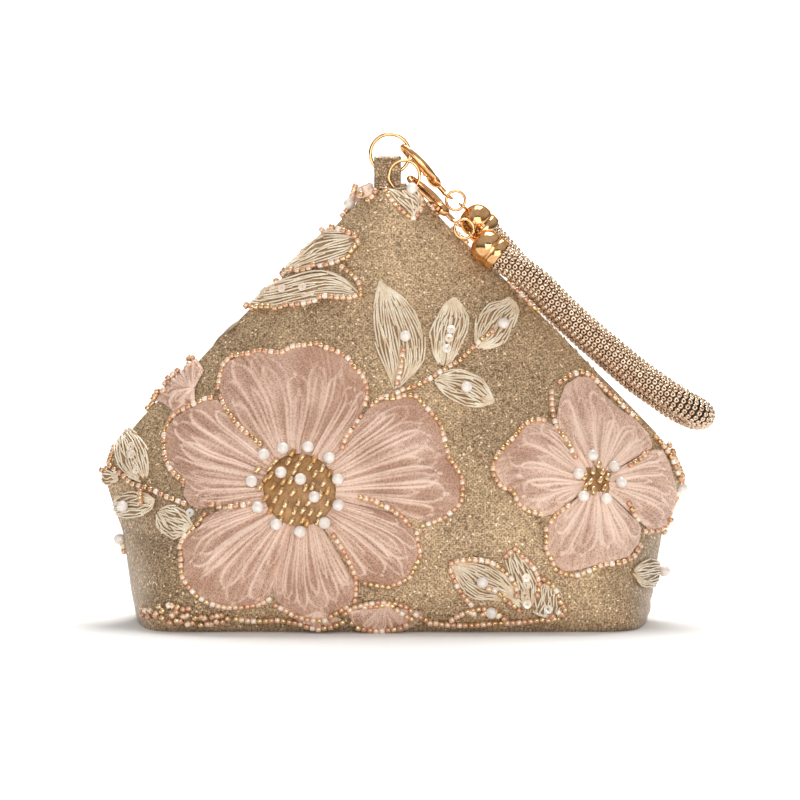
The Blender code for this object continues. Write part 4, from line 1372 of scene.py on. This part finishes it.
sequin = make_sequin()
mixed_beads("leaf_bead_rows", LEAF_ROWS)
mixed_beads("edge_bead_rows", EDGE_ROWS)
mixed_beads("loose_edge_beads", LOOSE_ROWS, out=0.95 * MM, loose=2.0)
pearls_at("leaf_pearls", LEAF_PEARLS, 0.95)
pearls_at("edge_pearls", EDGE_PEARLS, 0.95)
for name, text in (("white", WHITE_SEQUINS), ("clear", CLEAR_SEQUINS)):
    copies(name + "_sequins", sequin, seats_at(text, 0.35 * MM), [bead_finishes[name]],
           smooth=40.0)

# %% [markdown]
# ## Tab and rings
# A folded leather tab stands at the peak and holds a split ring, and a short linen loop in front of
# it holds a second one. The tab is a strip folded round the ring's wire: its path is drawn from the
# side and given its width, its thickness and a soft bevel along the cut edges.

# %% Sizes of the peak fittings
TAB = {"x": -1.5 * MM, "y": 1.6 * MM, "low": 138.0 * MM, "high": 153.4 * MM,
       "width": 8.9 * MM, "thick": 1.1 * MM}
FRONT_LOOP_Y = -2.6 * MM
TAB_RING = {"x": -0.7 * MM, "z": 154.1 * MM, "radius": 6.45 * MM, "wire": 0.60 * MM}
FRONT_RING = {"x": 4.0 * MM, "z": 147.0 * MM, "radius": 5.05 * MM, "wire": 0.55 * MM}
LOOP_CLEAR = 0.35 * MM


def frame_along(direction, towards):
    """A rotation whose Z is the direction and whose X leans towards a vector."""
    z = Vector(direction).normalized()
    x = Vector(towards) - z * z.dot(Vector(towards))
    x.normalize()
    return axes(x, z.cross(x), z)


def place_mesh(obj, matrix):
    """Moves a piece's points rather than its object."""
    settle(obj)
    obj.data.transform(matrix)
    return obj


def torus_at(centre, axis, radius, wire, sides=44, wire_sides=12):
    start_clean()
    bpy.ops.mesh.primitive_torus_add(major_segments=sides, minor_segments=wire_sides,
                                     major_radius=radius, minor_radius=wire)
    return place_mesh(bpy.context.object, Matrix.Translation(centre) @ frame_along(axis, (0.3, 0.5, 0.8)))


def make_tab():
    half = TAB_RING["wire"] + LOOP_CLEAR + TAB["thick"]
    turn_steps = 12
    across = 10
    path = []
    for sign, z in ((1, TAB["high"] - half), (-1, TAB["low"] + half)):
        for k in range(turn_steps + 1):
            angle = math.pi * k / turn_steps
            path.append((TAB["y"] + sign * half * math.cos(angle), z + sign * half * math.sin(angle)))
    path = [tuple(p)[:2] for p in even_steps([Vector((y, z, 0)) for y, z in path + path[:1]], 61)][:-1]
    verts = []
    for y, z in path:
        for k in range(across + 1):
            share = 2 * k / across - 1
            dent = 0.10 * MM * noise.noise(Vector((share * 2.0, y * 300, z * 300)))
            out = math.copysign(1, y - TAB["y"]) * (dent - 0.12 * MM * share ** 4)
            verts.append((TAB["x"] + share * TAB["width"] / 2, y + out, z))
    tab = mesh_piece("tab", verts, grid_faces(len(path), across + 1, round_rows=True))
    thicken(turn_out(tab), TAB["thick"])
    rim = tab.modifiers.new("edges", 'BEVEL')
    rim.width = 0.3 * MM
    rim.segments = 2
    rim.limit_method = 'ANGLE'
    apply_all(tab)
    return hand_over(tab, "leather_tab", tab_leather, replaces=("apex_tab",))


make_tab()
for name, ring, y in (("tab_ring", TAB_RING, TAB["y"]), ("front_ring", FRONT_RING, FRONT_LOOP_Y)):
    hoop = torus_at((ring["x"], y, ring["z"]), (0, -1, 0), ring["radius"], ring["wire"], 64, 12)
    hand_over(hoop, "smooth_" + name, gold, smooth=80.0, replaces=(name,))
print("tab and rings made")

# %% [markdown]
# ## Lobster claws
# A claw is a cast body with an eye, a tapering hook and a sprung gate that swings inward on a pin.
# The body, hook and eye are joined by booleans so that they read as one casting, and a slot is cut
# for the gate. The gates ride on their own bodies, so they open at the poses.

# %% Claw sizes
REACH = 20.8 * MM
HOOK_HOLD = 0.90
BODY_V = 6.8 * MM
BODY_R = 2.9 * MM
BODY_HALF_THICK = 1.75 * MM
HOOK_WIRE = 0.95 * MM
BACK_SWELL = 0.42
EYE_R = 1.65 * MM
EYE_WIRE = 0.5 * MM
NECK_R = 0.85 * MM
HOOK_ROUTE = ((-0.065, 0.330), (-0.130, 0.430), (-0.158, 0.570), (-0.158, 0.730), (-0.135, 0.890),
              (-0.060, 1.030), (0.040, 1.050), (0.120, 0.985), (0.148, 0.830))
PIVOT = Vector((1.9 * MM, 0, 7.6 * MM))
GATE_TIP_V = 0.815
GATE_WIRE = 0.62 * MM
KNUCKLE_R = 1.1 * MM
GATE_HALF_THICK = 0.65 * MM
SLOT_CLEAR = 0.32 * MM
LEVER = 2.2 * MM
JUMP_R = 3.15 * MM
JUMP_WIRE = 0.48 * MM
CHAINS = {
    "front": {"ring": FRONT_RING, "ring_y": FRONT_LOOP_Y, "at": -35.0, "turn": 12.0, "gate": 1.0,
              "claw": (0.69, -0.27, -0.67), "jump": (0.80, -0.10, -0.59),
              "eye": (0.75, -0.12, -0.65), "cap": (0.80, -0.04, -0.60)},
    "rear": {"ring": TAB_RING, "ring_y": TAB["y"], "at": 0.0, "turn": -10.0, "gate": -1.0,
             "claw": (0.67, 0.077, -0.74), "jump": (0.85, 0.15, -0.50),
             "eye": (0.75, 0.30, -0.59), "cap": (0.66, 0.20, -0.72)},
}


def wire(points, radii, sides=14):
    verts = []
    faces = []
    tube_along([Vector(p) for p in points], radii, sides, verts, faces)
    return turn_out(mesh_piece("wire", verts, faces))


def combine(base, others, operation='UNION'):
    for other in others:
        step = base.modifiers.new("cut", 'BOOLEAN')
        step.operation = operation
        step.solver = 'EXACT'
        step.object = other
        apply_all(base)
        bpy.data.objects.remove(other)
    return base


def claw_frame(chain):
    ring = chain["ring"]
    at = math.radians(chain["at"])
    held = Vector((ring["x"] + ring["radius"] * math.cos(at), chain["ring_y"],
                   ring["z"] + ring["radius"] * math.sin(at)))
    tangent = Vector((-math.sin(at), 0.0, math.cos(at)))
    along = Vector(chain["claw"]).normalized()
    thick = (tangent - along * tangent.dot(along)).normalized()
    thick = Matrix.Rotation(math.radians(chain["turn"]), 3, along) @ thick
    eye = held + along * REACH * HOOK_HOLD
    across = thick.cross(-along) * chain["gate"]
    return Matrix.Translation(eye) @ frame_along(-along, across), eye


def make_claw(side, chain, hole_axis):
    place, eye = claw_frame(chain)
    start_clean()
    bpy.ops.mesh.primitive_uv_sphere_add(segments=28, ring_count=16, radius=1.0)
    body = place_mesh(bpy.context.object, place @ Matrix.Translation((0, 0, BODY_V))
                      @ Matrix.Diagonal((BODY_R, BODY_HALF_THICK, BODY_R, 1)))
    stations = 30
    hook_points = smooth_route([(u * REACH, 0, v * REACH) for u, v in HOOK_ROUTE], stations)
    hook = wire([place @ p for p in hook_points],
                [HOOK_WIRE * (1.10 - 0.25 * k / (stations - 1)
                              + BACK_SWELL * math.exp(-((k / (stations - 1) - 0.286) / 0.229) ** 2))
                 for k in range(stations)])
    neck = wire([place @ Vector((0, 0, EYE_R * 0.9)), place @ Vector((0, 0, BODY_V))], [NECK_R, NECK_R])
    loop = torus_at(eye, hole_axis, EYE_R, EYE_WIRE, 28, 10)
    body = combine(body, [hook, neck, loop])
    low = Vector((PIVOT.x - KNUCKLE_R - SLOT_CLEAR, -GATE_HALF_THICK - SLOT_CLEAR,
                  PIVOT.z - KNUCKLE_R - SLOT_CLEAR))
    high = Vector((BODY_R * 1.6, GATE_HALF_THICK + SLOT_CLEAR, BODY_V + BODY_R * 1.5))
    start_clean()
    bpy.ops.mesh.primitive_cube_add(size=1.0)
    slot = place_mesh(bpy.context.object, place @ Matrix.Translation((low + high) / 2)
                      @ Matrix.Diagonal((*(high - low), 1)))
    body = combine(body, [slot], 'DIFFERENCE')
    hand_over(body, "claw_" + side + "_casting", gold, smooth=42.0,
              replaces=("claw_" + side + "_body",))
    tip = Vector((HOOK_ROUTE[-1][0] * REACH, 0, GATE_TIP_V * REACH))
    bar = wire([place @ PIVOT.lerp(tip, t) for t in (0.03, 0.5, 0.98)],
               [GATE_WIRE, GATE_WIRE, GATE_WIRE * 0.85], 12)
    knuckle = wire([place @ (PIVOT + Vector((0, s * GATE_HALF_THICK, 0))) for s in (-1, 1)],
                   [KNUCKLE_R, KNUCKLE_R], 22)
    root = PIVOT.lerp(tip, 0.22)
    lever = wire([place @ root, place @ (root + Vector((LEVER, 0, 0.15 * LEVER)))],
                 [GATE_WIRE * 0.7, GATE_WIRE * 0.85], 12)
    gate = combine(knuckle, [bar, lever])
    hand_over(gate, "claw_" + side + "_bar", gold, body=side + "_gate", smooth=42.0,
              replaces=("claw_" + side + "_gate",))
    return eye


# %% [markdown]
# ## Jump rings and end caps
# Each claw hangs from a jump ring that also holds the eye of a domed cap. A cap is turned metal, so
# its profile is spun round its axis, with a groove above its rim and a socket for the mesh.

# %% Cap sizes and the chains
STRAP_R = 4.9 * MM
CAP_REACH = 11.5 * MM
CAP_EYE_R = 1.35 * MM
CAP_EYE_WIRE = 0.45 * MM
CAP_SOCKET = 3.0 * MM
CAP_WALL = 0.45 * MM
CAP_CLEAR = 0.30 * MM
CAP_PROFILE = ((0.00, 0.133), (0.16, 0.138), (0.30, 0.150), (0.47, 0.175), (0.62, 0.215), (0.75, 0.265),
               (0.86, 0.335), (0.93, 0.410), (0.97, 0.490), (0.99, 0.580), (0.99, 0.640), (0.965, 0.668),
               (0.92, 0.690), (0.92, 0.745), (0.965, 0.765), (1.00, 0.795), (1.00, 0.985), (0.985, 1.000))


def make_cap(side, eye, along, hole_axis):
    outer = STRAP_R + CAP_CLEAR + CAP_WALL
    inside = outer - CAP_WALL
    profile = [(r * outer, t * CAP_REACH) for r, t in CAP_PROFILE]
    profile += [(inside, CAP_REACH), (inside, CAP_REACH - CAP_SOCKET), (0.0, CAP_REACH - CAP_SOCKET)]
    start_clean()
    mesh = bpy.data.meshes.new("cap")
    mesh.from_pydata([(r, 0, t) for r, t in profile],
                     [(k, k + 1) for k in range(len(profile) - 1)], [])
    cap = bpy.data.objects.new("cap", mesh)
    bpy.context.scene.collection.objects.link(cap)
    choose(cap)
    bpy.ops.object.mode_set(mode='EDIT')
    bpy.ops.mesh.select_all(action='SELECT')
    bpy.ops.mesh.spin(steps=36, angle=2 * math.pi, center=(0, 0, 0), axis=(0, 0, 1))
    bpy.ops.mesh.select_all(action='SELECT')
    bpy.ops.mesh.remove_doubles(threshold=0.005 * MM)
    bpy.ops.object.mode_set(mode='OBJECT')
    place_mesh(turn_out(cap), Matrix.Translation(eye) @ frame_along(along, (0, 1, 0)))
    cap = combine(cap, [torus_at(eye, hole_axis, CAP_EYE_R, CAP_EYE_WIRE, 28, 10)])
    hand_over(cap, "turned_cap_" + side, gold, smooth=38.0, replaces=("end_cap_" + side,))
    return eye + along * CAP_REACH


rims = []
for side, chain in CHAINS.items():
    jump_dir = Vector(chain["jump"]).normalized()
    ring_axis = (Vector((0, -1, 0)) + jump_dir * jump_dir.y).normalized()
    eye = make_claw(side, chain, jump_dir.cross(ring_axis))
    centre = eye + jump_dir * JUMP_R
    hand_over(torus_at(centre, ring_axis, JUMP_R, JUMP_WIRE, 40, 10), "round_jump_ring_" + side, gold,
              smooth=80.0, replaces=("jump_ring_" + side,))
    eye_dir = Vector(chain["eye"]).normalized()
    eye_dir = (eye_dir - ring_axis * eye_dir.dot(ring_axis)).normalized()
    cap_dir = Vector(chain["cap"]).normalized()
    rim = make_cap(side, centre + eye_dir * JUMP_R, cap_dir, eye_dir.cross(ring_axis))
    rims.append((rim, cap_dir))
    print(side, "cap rim", [round(c / MM, 1) for c in rim])

# %% [markdown]
# ## Wrist loop
# The loop is popcorn mesh: over a thousand little stamped domes with a hole in each, linked so
# closely that they make a flexible tube, with black gaps between them. One dome is modelled with a
# few dozen faces and set in staggered rows that follow the loop's bend, round a near-black core
# that is painted shade for the inside of the tube.

# %% Mesh tube of domes
STRAP_ROUTE = (
    (46.9, -9.6, 112.6), (55.4, -9.3, 104.2), (63.7, -8.8, 96.5), (72.3, -8.4, 89.3), (80.5, -8.1, 82.6),
    (89.1, -8.1, 76.5), (95.2, -7.8, 72.6), (99.9, -5.4, 69.8), (101.9, 0.0, 67.9), (99.6, 5.5, 67.7),
    (94.6, 8.1, 69.9), (88.6, 8.6, 73.9), (80.2, 8.6, 79.9), (72.0, 8.6, 86.9), (63.6, 8.6, 94.1),
    (55.2, 8.5, 101.9), (47.0, 8.3, 110.4), (41.0, 8.0, 117.0), (36.4, 7.5, 122.3),
)
DOMES_ROUND = 14
DOME_R = 0.99 * MM
DOME_SIDES = 8
DOME_LEAN = 0.10
CORE_R = 4.05 * MM
DOME_PROFILE = ((1.0, -0.05), (0.86, 0.30), (0.58, 0.46), (0.34, 0.30), (0.30, 0.02))


def strap_frames(count):
    """Even stations along the loop, each a matrix with Z along it and X turning with it."""
    (front_rim, front_dir), (rear_rim, rear_dir) = rims
    inset = CAP_SOCKET - CAP_CLEAR
    route = [front_rim - front_dir * inset, front_rim]
    route += [Vector(p) * MM for p in STRAP_ROUTE]
    route += [rear_rim, rear_rim - rear_dir * inset]
    points = smooth_route(route, count)
    side = Vector((0, 1, 0))
    frames = []
    for k, point in enumerate(points):
        along = heading(points, k).normalized()
        side = (side - along * side.dot(along)).normalized()
        frames.append(Matrix.Translation(point) @ axes(side, along.cross(side), along))
    return frames, route_length(points)


def make_strap():
    _frames, length = strap_frames(60)
    row_pitch = 2 * math.pi * (CORE_R + 0.5 * MM) / DOMES_ROUND * 0.87
    count = int(length / row_pitch)
    frames, length = strap_frames(count)
    dome_verts = [Vector((DOME_R * r * math.cos(2 * math.pi * n / DOME_SIDES),
                          DOME_R * r * math.sin(2 * math.pi * n / DOME_SIDES), DOME_R * h))
                  for r, h in DOME_PROFILE for n in range(DOME_SIDES)]
    dome_faces = grid_faces(len(DOME_PROFILE), DOME_SIDES, round_columns=True)
    placements = []
    for k, frame_k in enumerate(frames[1:-1]):
        for n in range(DOMES_ROUND):
            angle = 2 * math.pi * (n + 0.5 * (k % 2)) / DOMES_ROUND
            lean = Matrix.Rotation(rng.uniform(-DOME_LEAN, DOME_LEAN), 4, 'X')
            lean = lean @ Matrix.Rotation(rng.uniform(-DOME_LEAN, DOME_LEAN), 4, 'Y')
            out = Matrix.Rotation(angle, 4, 'Z') @ Matrix.Translation((CORE_R + 0.22 * MM, 0, 0))
            placements.append((frame_k @ out @ Matrix.Rotation(math.pi / 2, 4, 'Y') @ lean, 0))
    copies("wrist_loop_domes", (dome_verts, dome_faces), placements, [mesh_metal],
           smooth=70.0, replaces=("strap_tube",))
    # A near-black tube inside the domes stands in for the shade in the mesh: painted shade.
    shade_core_frames, _length = strap_frames(110)
    shade_core = wire([f.translation for f in shade_core_frames], [CORE_R] * len(shade_core_frames), 20)
    hand_over(shade_core, "wrist_loop_shade_core", mesh_shade_core, smooth=70.0)
    print("wrist loop", round(length / MM), "mm long with", len(placements), "domes")


make_strap()

# %% [markdown]
# ## Zip
# The mouth is closed by a zip that lies a little inside the right-hand edge. Its tape is the CAD
# solid in a woven finish, and small rounded teeth are set across its raised line.

# %% Zip tape and teeth
ZIP_RECESS = 4.2 * MM
TOOTH_PITCH = 1.25 * MM
TEETH_RISE = 1.15 * MM
TOOTH_SIZE = (3.5 * MM, 0.8 * MM, 1.3 * MM)
ZIP_LOW = MOUTH_LOW + 0.04
ZIP_HIGH = 0.925


def dress_node(name, finish):
    """Gives a CAD node that keeps its shape a better finish."""
    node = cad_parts[name]
    node.data.materials.clear()
    node.data.materials.append(finish)


def make_teeth():
    start_clean()
    bpy.ops.mesh.primitive_cube_add(size=1.0, scale=TOOTH_SIZE)
    tooth = settle(bpy.context.object)
    bpy.ops.object.mode_set(mode='EDIT')
    bpy.ops.mesh.select_all(action='SELECT')
    bpy.ops.mesh.bevel(offset=0.22 * MM, segments=1)
    bpy.ops.object.mode_set(mode='OBJECT')
    shape = as_shape(tooth)
    low = ZIP_LOW * HEIGHT
    high = ZIP_HIGH * HEIGHT
    line = []
    for k in range(60):
        z = low + (high - low) * k / 59
        step = 2.0 * MM
        run = Vector((section(z + step)[0] - section(z - step)[0], 0.0, 2 * step)).normalized()
        inward = Vector((-run.z, 0.0, run.x))
        line.append(Vector((section(z)[0], 0.0, z)) + inward * (ZIP_RECESS - TEETH_RISE))
    points = even_steps(line, int(route_length(line) / TOOTH_PITCH))
    placements = []
    for k, point in enumerate(points):
        along = heading(points, k).normalized()
        out = Vector((along.z, 0, -along.x))
        shift = Vector((0, 0.25 * MM * (1 if k % 2 else -1), 0))
        placements.append((Matrix.Translation(point + shift) @ axes(Vector((0, 1, 0)), along, out), 0))
    return copies("zip_teeth", shape, placements, [gold], smooth=50.0)


dress_node("mouth_zip", tape_cloth)
dress_node("front_loop", linen)
teeth = make_teeth()
print("zip teeth faces", len(teeth.data.polygons))
